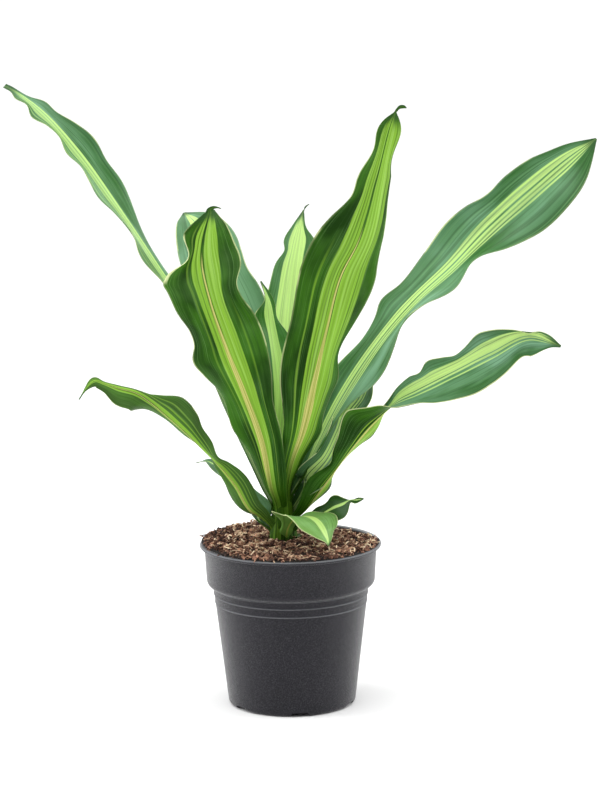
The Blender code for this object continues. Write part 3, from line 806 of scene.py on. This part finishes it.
# %% Crimps of the margins
CRIMPS = {
    "leaf_left_high": ([(0.2, 0, 0), (0.5, -3, -5), (0.61, -2, -3), (0.71, 0, 0), (0.76, -2, -2), (0.81, 1, 1), (0.85, 0, 0),
                        (0.89, -2, -1), (0.92, 1, 1), (0.95, -1, -1)],
                       [(0.48, 0, 0), (0.56, 1, -1), (0.59, -2, 3), (0.65, 0, 1), (0.69, 4, -2), (0.73, 2, -1), (0.76, 0, 0), (0.8, 2, -2),
                        (0.84, -2, 1), (0.87, 0, 0), (0.91, 4, -3), (0.935, -1, 0), (0.96, 4, 0), (0.98, -1, 0)]),
    "leaf_front_left": ([(0.13, 0, 0), (0.26, 3, -1), (0.34, -2, 0), (0.44, 0, 0), (0.49, 3, 0), (0.53, -3, 0), (0.58, -4, 0),
                         (0.67, 2, 0), (0.72, 4, 0), (0.745, 5, 0), (0.765, 1, 0), (0.8, -5, -3), (0.87, -11, -6),
                         (0.92, -2, 1), (0.95, 2.5, 0), (0.975, 5, -1)],
                        [(0.09, 5, 1), (0.2, 0, 0), (0.32, -4, 0), (0.39, 0, 0), (0.53, 3, 0), (0.59, 2, 0), (0.66, -3, 0),
                         (0.7, -3, 0), (0.75, 4, 0), (0.83, 4, 0), (0.93, 3, 0)]),
    "leaf_back_left": ([(0.5, 0, 0), (0.61, -1, 0), (0.67, -4, 0), (0.73, -3, 0), (0.81, 1, 0), (0.87, 2, 0)],
                       [(0.6, 2, 0), (0.74, 5, 0), (0.8, 5, 0), (0.86, 4, 0), (0.95, 1, 0)]),
    "leaf_back_centre": ([(0.6, 1, 0), (0.82, 4, 0), (0.89, 7, 0), (0.93, 1, 0)],
                         [(0.6, 0, 0), (0.69, -1, 0), (0.79, 0, 0), (0.84, -3, 0), (0.87, 1, 0), (0.94, 1, 0)]),
    "leaf_inner_young": ([(0.6, 0, 0), (0.72, 1, 0), (0.81, -3, -1), (0.87, 0, 0)],
                         [(0.6, 0, 0), (0.76, 2, 0), (0.84, 6, -2), (0.9, 0, 0)]),
    "leaf_front_tall": ([(0.14, -2, 0), (0.29, 1, 0), (0.41, 1, 0), (0.5, 2, 0), (0.62, 3, 1), (0.72, 1, 0), (0.78, -3, -1),
                         (0.84, 2, 1), (0.9, -3, -1), (0.94, 0, 0)],
                        [(0.08, 4, -2), (0.16, 4, -2), (0.2, -1, 0), (0.25, -1, 0), (0.29, 2, -1), (0.35, -3, 1), (0.43, 1, 0),
                         (0.56, 3, -1), (0.65, -2, 1), (0.74, -1, 0), (0.82, 1, 0), (0.88, -1, 0), (0.94, 3, -1)]),
    "leaf_right_long": ([(0.19, -1, 1), (0.28, 4, -3), (0.37, 2, -1), (0.43, -2, 2), (0.48, -1, 1), (0.55, 1, 0), (0.62, -7, 3),
                         (0.68, 2, 0), (0.73, 6, -1), (0.78, 10, -1), (0.83, 12, -1), (0.91, 11, 0), (0.96, 6, 0)],
                        [(0.3, 0, 0), (0.37, -4, -2), (0.42, -1, -1), (0.45, 3, 2), (0.5, -2, -1), (0.57, 0, 0), (0.66, 2, 1),
                         (0.7, 0, 0), (0.74, -4, -1), (0.8, -1, 0), (0.86, 0, 0), (0.9, -2, 0), (0.96, -1, 0)]),
    "leaf_right_low": ([(0.17, 0, 0), (0.215, -5, 0), (0.25, 0, 0), (0.3, 2, -1), (0.49, -4, 2), (0.52, -9, 3), (0.56, -12, 2),
                        (0.6, -7, 0), (0.65, 0, 0), (0.7, 4, -1), (0.77, 3, 0), (0.86, 0, 0), (0.94, 7, 0), (0.98, 0, 0)],
                       [(0.15, 0, 0), (0.21, -8, 0), (0.25, -3, -2), (0.29, 2, -4), (0.33, -3, -4), (0.37, -13, -1), (0.45, -10, -2), (0.54, -9, -5),
                        (0.585, -12, -2), (0.61, -6, 0), (0.66, -6, 0),
                        (0.7, -9, -1), (0.73, -7, -1), (0.79, 0, 0), (0.83, -1, 0), (0.875, -6, 0), (0.91, -9, 0),
                        (0.935, -3, 0), (0.96, 0, 0)]),
    "leaf_right_inner": ([], []),
    "leaf_left_low": ([(0.2, 0, 0), (0.31, -6, 0), (0.4, 0, 0)],
                      [(0.26, 0, 0), (0.35, -5, 0), (0.43, 0, 0), (0.475, -3, 0), (0.54, 5, 0), (0.6, 9, 0), (0.635, 7, 0),
                       (0.67, -3, 0), (0.7, -8, 0), (0.78, -8, 0), (0.86, 0, 0)]),
    "leaf_left_lowest": ([], [(0.5, 0, 0), (0.68, 5, 0), (0.8, 0, 0)]),
    "leaf_front_small": ([(0.24, 0, 0), (0.31, 8, 0), (0.38, 12, 2), (0.45, 2, 0), (0.5, 0, 0), (0.58, 7, 0), (0.64, 7, 0), (0.7, 5, 0),
                          (0.8, 5, 0), (0.92, 0, 0)],
                         []),
    "leaf_right_small": ([(0.55, 3, 0)], [(0.55, -5, 0)]),
}

# %% [markdown]
# The midrib passes through its points on a cubic whose slopes are worked out from the neighbours on both
# sides. `leaf_sheet` reads it at every station and lays the blade across: the fold turns the blade into
# a channel, and each margin carries its own sine wave that fades at the foot and at the tip.


# %% Blade surface
def smooth_through(knots, values, at):
    """A smooth curve through the values at the knots, read at the places asked for."""
    knots = np.asarray(knots, float)
    values = np.asarray(values, float).reshape(len(knots), -1)
    steps = np.diff(knots)[:, None]
    slopes = np.diff(values, axis=0) / steps
    inner = (steps[1:] * slopes[:-1] + steps[:-1] * slopes[1:]) / (steps[1:] + steps[:-1])
    tangents = np.vstack([slopes[:1], inner, slopes[-1:]])
    i = np.clip(np.searchsorted(knots, at, side="right") - 1, 0, len(knots) - 2)
    h = steps[i]
    s = (at[:, None] - knots[i][:, None]) / h
    return ((2 * s**3 - 3 * s**2 + 1) * values[i] + (s**3 - 2 * s**2 + s) * h * tangents[i]
            + (3 * s**2 - 2 * s**3) * values[i + 1] + (s**3 - s**2) * h * tangents[i + 1])


def unit(vectors):
    return vectors / np.linalg.norm(vectors, axis=-1, keepdims=True)


def stem_radius(z):
    part = (z - STEM_TAPER_START) / (STEM_TOP - STEM_TAPER_START)
    return STEM_RADIUS + (STEM_TOP_RADIUS - STEM_RADIUS) * min(1.0, max(0.0, part))


def spine_of(leaf):
    """The points that the midrib passes through, from its foot on the stem, and the way it leaves."""
    bearing = math.radians(leaf["bearing"])
    outward = np.array([math.cos(bearing), math.sin(bearing), 0.0])
    lean = math.radians(leaf["lean"])
    foot_z = leaf["foot"] * MM
    seat = stem_radius(foot_z) + GAP + BASE_THICKNESS / 2
    foot = np.array([STEM_X, 0.0, foot_z]) + seat * outward
    up = np.array([0.0, 0.0, 1.0])
    collar = foot + leaf["collar"] * MM * (math.sin(lean) * outward + math.cos(lean) * up)
    return np.vstack([foot, collar, [np.array(p[:3]) * MM for p in leaf["points"]]]), outward


def sheath_of(leaf, rank, outward):
    """Where the leaf's sheath runs down the stem from its foot: outer leaves clasp wider than inner ones."""
    foot_z = leaf["foot"] * MM
    axis = np.array([STEM_X, 0.0, 0.0])
    bottom_z = max(SHEATH_BOTTOM, foot_z - SHEATH_LENGTH)
    levels = (bottom_z, 0.5 * (bottom_z + foot_z))
    spread = (SHEATH_SPREAD * (1 - rank / SHEATH_LAYERS), 0.55 * SHEATH_SPREAD * (1 - rank / SHEATH_LAYERS))
    radii = [stem_radius(z) + GAP + BASE_THICKNESS / 2 + extra for z, extra in zip(levels, spread)]
    return [axis + r * outward + np.array([0.0, 0.0, z]) for r, z in zip(radii, levels)]


def crimped(places, along):
    """How far a margin strays outwards and upwards at each station."""
    table = [(0.0, 0.0, 0.0)] + list(places) + [(1.0, 0.0, 0.0)]
    knots = [place for place, _, _ in table]
    strays = smooth_through(knots, [(out * MM, lift * MM) for _, out, lift in table], np.clip(along, 0, 1))
    return strays[:, 0], strays[:, 1]


def carried(first, direction):
    """Carry the face's normal along the midrib without turning it, also past the crest of a leaf that droops."""
    faces = [first]
    for way in direction[1:]:
        flat = faces[-1] - np.dot(faces[-1], way) * way
        faces.append(flat / np.linalg.norm(flat))
    return np.array(faces)


def leaf_sheet(name, rank, along, across):
    """The blade's middle surface: rows along the midrib and columns across it."""
    leaf = LEAVES[name]
    spine, outward = spine_of(leaf)
    lengths = np.linalg.norm(np.diff(spine, axis=0), axis=1)
    knots = np.concatenate([[0.0], np.cumsum(lengths)]) / lengths.sum()
    first = leaf["points"][0]
    collar_share = knots[1] / knots[2]
    collar_width = BASE_HALF_WIDTH + (first[3] * MM - BASE_HALF_WIDTH) * collar_share**1.5
    widths = [BASE_HALF_WIDTH, collar_width] + [p[3] * MM for p in leaf["points"]]
    twists = [0.0, first[4] * collar_share] + [p[4] for p in leaf["points"]]
    channel = [BLADE_FOLD if len(p) < 6 else p[5] for p in leaf["points"]]
    channel = [channel[0], channel[0]] + channel
    sheath = sheath_of(leaf, rank, outward)
    drops = np.linalg.norm(np.diff(sheath + [spine[0]], axis=0), axis=1) / lengths.sum()
    knots = np.concatenate([[-drops.sum(), -drops[1]], knots])
    spine = np.vstack([sheath, spine])
    widths = [SHEATH_HALF_WIDTH, 0.5 * (SHEATH_HALF_WIDTH + BASE_HALF_WIDTH)] + widths
    twists = [0.0, 0.0] + twists
    channel = [channel[0], channel[0]] + channel
    along = knots[0] + (1 - knots[0]) * along
    middle = smooth_through(knots, spine, along)
    nudge = 0.001
    ahead = smooth_through(knots, spine, np.minimum(along + nudge, 1.0))
    behind = smooth_through(knots, spine, np.maximum(along - nudge, knots[0]))
    direction = unit(ahead - behind)
    inner = unit(np.array([0.0, 0.0, 0.9]) - 0.4 * outward)
    face = unit(inner - (direction @ inner)[:, None] * direction)
    if leaf.get("bends_over"):
        face = carried(face[0], direction)
    side = np.cross(direction, face)
    twist = np.radians(smooth_through(knots, twists, along))
    face, side = np.cos(twist) * face + np.sin(twist) * side, np.cos(twist) * side - np.sin(twist) * face
    half = np.maximum(smooth_through(knots, widths, along)[:, 0], 0.4 * MM)
    share = np.clip(along, 0, 1)
    channel = np.maximum(smooth_through(knots, channel, along)[:, 0], 5.0)
    fold = np.radians(channel + np.maximum(BASE_FOLD - channel, 0.0) * (1 - share) ** 4)
    envelope = np.clip(share / 0.25, 0, 1) ** 1.5 * np.clip((1 - share) / 0.12, 0, 1)
    strays = [crimped(places, along) for places in CRIMPS[name]]
    sheet = np.empty((len(along), len(across), 3))
    for column, c in enumerate(across):
        margin = 0 if c > 0 else 1
        height, number, phase = leaf["waves"][margin]
        wave = height * MM * c * c * np.sin(2 * math.pi * (number * share + phase)) * envelope
        stray_out, stray_up = strays[margin]
        out = half * np.sin(fold * c) / fold + stray_out * c * abs(c)
        up = half * (1 - np.cos(fold * c)) / fold + wave + stray_up * c * c
        sheet[:, column] = middle + out[:, None] * side + up[:, None] * face
    return sheet, half, side, along


# %% [markdown]
# A flat sheet has no edge to catch the light. The blade gets a thin body: half a millimetre at the
# margins, a little more in the middle, and on its underside a rounded midrib that fades to the tip.
# Two numbers stay with every point, how far across and how far along it lies, because the stripes
# follow the blade and not the room.

# %% Blade body
ROWS = 180
COLUMNS = 37
MIDRIB_RADIUS = 1.6 * MM


def with_tail(sheet, tail):
    """Run the blade's tip out into the curl that it dries to. Each place carries its half width in mm."""
    tip = sheet[-1, sheet.shape[1] // 2]
    before = sheet[-8, sheet.shape[1] // 2]
    points = [before, tip] + [tip + np.array(p[:3]) * MM for p in tail]
    knots = np.concatenate([[0.0], np.cumsum(np.linalg.norm(np.diff(points, axis=0), axis=1))])
    at = np.linspace(knots[1], knots[-1], 15)[1:]
    thread = smooth_through(knots, points, at)
    ends = sheet[-1, -1] - sheet[-1, 0]
    width = np.interp(at, knots[1:], [np.linalg.norm(ends) / 2] + [p[3] * MM for p in tail])
    flat = unit(np.cross(np.gradient(thread, axis=0), (0.0, 1.0, 0.0)))
    turned = np.linspace(0.0, 1.0, len(at))[:, None] ** 0.5
    way = unit((1 - turned) * unit(ends) + turned * flat)
    across = np.linspace(-1, 1, sheet.shape[1])
    rows = thread[:, None, :] + (width[:, None] * way)[:, None, :] * across[None, :, None]
    return np.concatenate([sheet, rows]), len(at)


def blade(name, rank, finish, tail=()):
    """The closed mesh of one leaf, with its across, along and under values."""
    across = np.linspace(-1.0, 1.0, COLUMNS)
    sheet, half, side, along = leaf_sheet(name, rank, np.linspace(0.0, 1.0, ROWS), across)
    if len(tail):
        sheet, extra = with_tail(sheet, tail)
        along = np.concatenate([along, np.linspace(1.0, 1.05, extra + 1)[1:]])
        half = np.concatenate([half, np.full(extra, half[-1])])
    rows, columns = sheet.shape[:2]
    normal = unit(np.cross(np.gradient(sheet, axis=1), np.gradient(sheet, axis=0)))
    core = 1 - np.abs(across)[None, :]
    fade = np.clip(1 - along, 0, 1)[:, None]
    thickness = MARGIN_THICKNESS + (BLADE_THICKNESS - MARGIN_THICKNESS) * np.clip(core * 4, 0, 1) * fade**0.5
    base = np.clip(1 - along / 0.15, 0, 1)[:, None]
    thickness = thickness + (BASE_THICKNESS - thickness) * base * core
    from_rib = np.abs(across)[None, :] * half[:, None] / (MIDRIB_RADIUS * (0.35 + 0.9 * fade))
    rib = 0.9 * MM * np.exp(-(from_rib**2)) * np.clip(fade * 3, 0, 1) * np.clip(half / (4 * MM), 0, 1)[:, None]
    upper = sheet + 0.5 * (thickness - 0.4 * rib)[..., None] * normal
    lower = sheet - (0.5 * thickness + rib)[..., None] * normal
    points = np.concatenate([upper.reshape(-1, 3), lower.reshape(-1, 3)])
    index = np.arange(rows * columns).reshape(rows, columns)
    a, b, c, d = index[:-1, :-1], index[:-1, 1:], index[1:, 1:], index[1:, :-1]
    top = np.stack([a, b, c, d], axis=-1).reshape(-1, 4)
    loop = np.concatenate([index[:, 0], index[-1, 1:], index[-2::-1, -1], index[0, -2:0:-1]])
    after = np.roll(loop, -1)
    under = rows * columns
    rim = np.stack([loop, after, under + after, under + loop], axis=-1)
    faces = np.concatenate([top, under + top[:, ::-1], rim])
    mesh = bpy.data.meshes.new(name + "_blade")
    mesh.from_pydata(points.tolist(), [], faces.tolist())
    wide = np.tile(np.broadcast_to(across, (rows, columns)).ravel(), 2)
    long = np.tile(np.repeat(along, columns), 2)
    below = np.repeat([0.0, 1.0], under)
    for label, values in (("across", wide), ("along", long), ("under", below)):
        mesh.attributes.new(label, "FLOAT", "POINT").data.foreach_set("value", values)
    work = bmesh.new()
    work.from_mesh(mesh)
    bmesh.ops.recalc_face_normals(work, faces=work.faces)
    work.to_mesh(mesh)
    work.free()
    mesh.shade_smooth()
    return placed(name + "_blade", mesh, finish)


# %% [markdown]
# ## Stripes
# The blade is green with lime stripes along its middle. No two leaves share a pattern, so each leaf has
# its own list of lime stripes, from and to, in shares of its half width: 0 is the midrib and 1 the
# margin. A colour ramp holds the stripes as stops, and the ramp is read with the across value, a
# little disturbed by long thin noise, so the borders run like drawn ink and not like ruled lines.

# %% Stripes and finish of the leaves
STRIPES = {
    "leaf_front_small": [(-0.20, 0.10)],
    "leaf_right_small": [(-0.12, 0.10)],
    "leaf_left_lowest": [(-0.15, 0.10)],
    "leaf_left_low": [(-0.62, -0.58, 0.6), (-0.42, -0.36, 0.7), (-0.22, -0.05), (0.04, 0.12)],
    "leaf_right_low": [(-0.46, -0.34), (-0.34, -0.31, 0.4), (-0.31, -0.06), (-0.02, 0.05), (0.14, 0.18)],
    "leaf_right_inner": [(-0.52, -0.36), (-0.30, -0.12), (-0.04, 0.10), (0.20, 0.28)],
    "leaf_left_high": [(-0.80, -0.66, 0.35), (-0.56, -0.50, 0.4), (-0.40, -0.28, 0.7), (-0.28, -0.22, 0.4),
                       (-0.22, -0.06, 0.75), (-0.02, 0.13, 0.9)],
    "leaf_front_left": [(-0.40, -0.05), (0.04, 0.12), (0.12, 0.15, 0.4), (0.15, 0.26), (0.35, 0.40, 0.35)],
    "leaf_right_long": [(-0.28, -0.21), (-0.21, -0.17, 0.4), (-0.17, -0.05), (0.0, 0.07),
                        (0.07, 0.12, 0.3), (0.12, 0.18), (0.22, 0.26)],
    "leaf_back_left": [(-0.24, -0.05), (-0.01, 0.20)],
    "leaf_back_centre": [(-0.44, -0.20), (-0.20, -0.17, 0.6), (-0.17, 0.12), (0.12, 0.15, 0.6), (0.15, 0.42)],
    "leaf_front_tall": [(-0.66, -0.52, 0.8), (-0.52, -0.48, 0.4), (-0.48, -0.06), (0.03, 0.10), (0.10, 0.13, 0.45),
                        (0.13, 0.19), (0.19, 0.22, 0.45), (0.22, 0.26), (0.26, 0.29, 0.5), (0.29, 0.37)],
    "leaf_inner_young": [(-0.36, 0.30)],
}
LOW_STRIPES = {
    "leaf_front_left": [(-0.62, -0.58, 0.35)],
    "leaf_front_tall": [(0.55, 0.60, 0.6)],
}
# A tint mixed over some leaves' green, with its amount. leaf_back_left's pale blue-green is painted reflection of the
# bright studio on its upturned face; the other tints make a leaf's green lighter or darker.
HUES = {
    "leaf_front_small": (0.60, srgb(142, 188, 92)),
    "leaf_right_small": (0.90, srgb(38, 78, 15)),
    "leaf_left_lowest": (0.30, srgb(70, 112, 66)),
    "leaf_left_low": (0.40, srgb(100, 134, 72)),
    "leaf_right_inner": (0.30, srgb(104, 134, 100)),
    "leaf_back_left": (0.35, srgb(130, 174, 136)),
    "leaf_back_centre": (0.45, srgb(66, 120, 40)),
    "leaf_inner_young": (0.65, srgb(58, 112, 26)),
}
RIBS = {"leaf_front_left": (0.27, 2.8, 0.86), "leaf_front_tall": (1.1, 7.0, 0.72)}
PLAIN_RIB = (0.10, 4.0, 0.95)
ROLLED = {"leaf_front_left": (0.74, 0.93)}
STRIPE_EDGE = 0.012
PALE_EDGED = ("leaf_front_small", "leaf_right_inner", "leaf_right_low")


def stripe_stops(stripes):
    """The stops of a ramp that is high inside each stripe and 0 outside. A third value makes it fainter."""
    stops = [(0.0, 0.0)]
    ordered = sorted(stripes)
    starts = [stripe[0] for stripe in ordered]
    ends = [stripe[1] for stripe in ordered]
    for low, high, *rest in ordered:
        strength = rest[0] if rest else 1.0
        if low not in ends:
            stops.append((0.5 + 0.5 * (low - STRIPE_EDGE), 0.0))
        stops.append((0.5 + 0.5 * (low + STRIPE_EDGE), strength))
        stops.append((0.5 + 0.5 * (high - STRIPE_EDGE), strength))
        if high not in starts:
            stops.append((0.5 + 0.5 * (high + STRIPE_EDGE), 0.0))
    return stops


def ramp(tree, where, stops):
    made = tree.node("ShaderNodeValToRGB", None, {"Fac": where})
    elements = made.node.color_ramp.elements
    while len(elements) < len(stops):
        elements.new(0.5)
    for element, (place, value) in zip(elements, stops):
        element.position = place
        element.color = (value, value, value, 1.0)
    return made["Color"]


def leaf_skin(name, seed):
    """Green above, paled and blued by painted reflection of the bright studio and painted sheen patches; yellower and
    darker below, partly the underside's own colour and partly painted shade; lime along the stripes.
    """
    finish, tree, shader = new_material(name + "_skin")
    across = tree.attribute("across")
    along = tree.attribute("along")
    under = tree.attribute("under").above(0.4, 0.6)
    drift = tree.noise(tree.vector(across * 3.0, along * 4.0, seed), 1.0, 2.0) - 0.5
    streak = tree.noise(tree.vector(across * 46.0, along * 2.2, seed + 7.0), 1.0, 3.0, 0.6)
    band = tree.noise(tree.vector(across * 16.0, along * 1.6, seed + 2.0), 1.0, 2.0)
    fine = tree.noise(tree.vector(across * 150.0, along * 6.0, seed + 3.0), 1.0, 2.0)
    cloud = tree.noise(tree.vector(across * 1.6, along * 5.0, seed + 5.0), 1.0, 3.0)
    deep = cloud.above(0.34, 0.66)
    painted_sheen = tree.noise(tree.vector(across * 1.2, along * 6.0, seed + 9.0), 1.0, 2.0).above(0.48, 0.70)

    widened = across * (1 - along.above(0.55, 1.0) * 0.35)
    read = widened * 0.5 + 0.5 + drift * 0.05
    lime = ramp(tree, read, stripe_stops(STRIPES[name]))
    if name in LOW_STRIPES:
        lime = lime + ramp(tree, read, stripe_stops(LOW_STRIPES[name])) * along.above(0.70, 0.50)
    lime = lime * (1 - along.above(0.93, 0.98) * across.absolute().above(0.22, 0.42) * 0.9)
    lined = streak.above(0.60, 0.48) * 0.35 + 0.65

    # Painted reflection: the upper face's greens run up to a pale blue-green as if mirroring the bright studio, and the
    # sheen mask lays painted sheen patches on both faces.
    green_above = tree.mix(deep, srgb(50, 106, 42), srgb(106, 154, 112))
    green_above = tree.mix(painted_sheen * 0.42, green_above, srgb(152, 196, 170))
    dusk = across.absolute().above(0.45, 1.0) * (along.above(0.65, 0.95) * 0.35 + 0.45)
    green_above = tree.mix(dusk, green_above, srgb(44, 96, 38))
    # Painted shade: the upper face darkens towards the foot, where the leaves crowd round the stem.
    green_above = tree.mix(along.above(0.36, 0.12) * 0.6, green_above, srgb(44, 94, 30))
    # The underside's greens are darker, partly their own colour and partly painted shade.
    green_below = tree.mix(deep, srgb(22, 58, 0), srgb(58, 108, 20))
    green_below = tree.mix(painted_sheen * 0.3, green_below, srgb(98, 144, 74))
    green = tree.mix(under, green_above, green_below)
    if name in HUES:
        amount, hue = HUES[name]
        green = tree.mix(amount, green, hue)
    green = tree.mix(band.above(0.50, 0.34) * 0.4, green, srgb(24, 62, 8))
    green = tree.mix(streak.above(0.54, 0.70) * 0.3, green, srgb(134, 182, 112))
    # Lime is paler above and darker below: partly the two faces' own colours, partly painted top light on the upper
    # face and painted shade on the underside.
    lime_above = tree.mix(streak, srgb(162, 210, 88), srgb(230, 250, 174))
    lime_below = tree.mix(streak, srgb(108, 164, 24), srgb(172, 212, 86))
    yellow = tree.mix(under, lime_above, lime_below)
    yellow = tree.mix(band.above(0.50, 0.64) * 0.35, yellow, srgb(180, 216, 124))
    yellow = tree.mix(band.above(0.50, 0.36) * 0.22, yellow, green)
    colour = tree.mix(lime * lined, green, yellow)
    colour = tree.mix(fine * 0.35, colour, srgb(44, 96, 28), "SOFT_LIGHT")

    spread, taper, end = RIBS.get(name, PLAIN_RIB)
    rib_width = along.math("MAXIMUM", 1 - along, 0.0) ** taper * spread + 0.02
    rib_width = rib_width.math("MINIMUM", rib_width, 0.2)
    rib = (across.absolute() / rib_width).above(1.0, 0.75) * under * along.above(end, end - 0.1) * along.above(0.0, 0.14)
    rib_colour = tree.mix(streak.above(0.35, 0.65), srgb(140, 152, 60), srgb(212, 206, 126))
    colour = tree.mix(rib, colour, rib_colour)
    edge = across.absolute().above(0.955, 0.985)
    patch = tree.noise(tree.vector(across * 0.5, along * 11.0, seed + 4.0), 1.0, 1.0).above(0.5, 0.6)
    pale = edge * 0.85 if name in PALE_EDGED else edge * (patch * 0.5 + 0.2)
    pale = pale * along.above(0.12, 0.32)
    if name in ROLLED:
        start, end = ROLLED[name]
        pale = pale + across.above(0.90, 0.94) * along.above(start, start + 0.02) * along.above(end, end - 0.02) * 0.9
    colour = tree.mix(pale, colour, srgb(206, 218, 158))
    # Towards the foot the blade turns to a dark streaked green: partly the sheath's own colour, partly painted shade
    # where the leaves crowd round the stem.
    root = along.above(0.16, 0.0)
    colour = tree.mix(root * 0.75, colour, tree.mix(streak.above(0.52, 0.60), srgb(26, 56, 2), srgb(84, 122, 22)))
    colour = tree.mix(along.above(0.955, 0.99) * 0.8, colour, srgb(38, 76, 30))
    relief = tree.node("ShaderNodeBump", None, {"Strength": 0.35, "Distance": 0.0004, "Height": streak + fine * 0.5})
    plug(tree, shader, Base_Color=colour, Roughness=cloud * 0.14 + 0.38, Normal=relief["Normal"])
    plug(tree, shader, Specular_IOR_Level=0.03, Coat_Weight=0.38 - under * 0.32, Coat_Roughness=0.38)
    return finish


TAILS = {
    "leaf_front_tall": [(2, -1, 3, 1.2), (5, -1, 5, 1.8), (8, -2, 5, 1.4), (10, -2, 4, 0.3)],
    "leaf_back_centre": [(3, 1, 5, 0.7), (6, 2, 7, 0.3)],
    "leaf_front_left": [(0, 0, 2, 3.0), (3, 1, 4, 1.6), (7, 1, 4, 0.6), (10, 1, 3, 0.3)],
}
for rank, name in enumerate(LEAVES):
    skin = leaf_skin(name, 3.7 * rank)
    piece = blade(name, rank, skin, TAILS.get(name, ()))
    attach(piece, "root")
    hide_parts(name)
    print(name, len(piece.data.polygons), "faces")

# %% [markdown]
# ## Stem
# The cane itself can't be seen: the clasping feet of old leaves wrap it. The piece is a turned cane
# that narrows towards its top, with low ribs that run up it like folded leaf bases.

# %% Stem with its sheaths
STEM_FOOT = 100 * MM


def stem_mesh():
    heights = np.linspace(STEM_FOOT, STEM_TOP, 90)
    steps = 72
    points = [(STEM_X, 0.0, STEM_FOOT)]
    for z in heights:
        for k in range(steps):
            a = 2 * math.pi * k / steps
            ribs = 0.35 * MM * math.sin(9 * a + 40 * z) + 0.2 * MM * math.sin(23 * a)
            r = stem_radius(z) + (ribs if z < 0.22 else 0.0)
            points.append((STEM_X + r * math.cos(a), r * math.sin(a), z))
    points.append((STEM_X, 0.0, STEM_TOP + 2 * MM))
    faces = [(0, 1 + (k + 1) % steps, 1 + k) for k in range(steps)]
    for row in range(len(heights) - 1):
        for k in range(steps):
            n = (k + 1) % steps
            first = 1 + row * steps
            faces.append((first + k, first + n, first + steps + n, first + steps + k))
    last = 1 + (len(heights) - 1) * steps
    faces += [(last + k, last + (k + 1) % steps, len(points) - 1) for k in range(steps)]
    mesh = bpy.data.meshes.new("stem_sheaths")
    mesh.from_pydata(points, [], faces)
    mesh.shade_smooth()
    return mesh


def stem_skin():
    finish, tree, shader = new_material("stem_sheaths_skin")
    where = tree.node("ShaderNodeTexCoord")["Object"]
    parts = tree.node("ShaderNodeSeparateXYZ", None, {"Vector": where})
    stretched = tree.vector(parts["X"] * 500.0, parts["Y"] * 500.0, parts["Z"] * 20.0)
    streak = tree.noise(stretched, 1.0, 2.0)
    colour = tree.mix(streak.above(0.45, 0.62), srgb(42, 71, 4), srgb(120, 140, 40))
    relief = tree.node("ShaderNodeBump", None, {"Strength": 0.4, "Distance": 0.0005, "Height": streak})["Normal"]
    plug(tree, shader, Base_Color=colour, Roughness=streak * 0.1 + 0.45, Normal=relief)
    return finish


stem = placed("stem_sheaths", stem_mesh(), stem_skin())
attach(stem, "root")
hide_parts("stem")
print("stem:", len(stem.data.polygons), "faces")
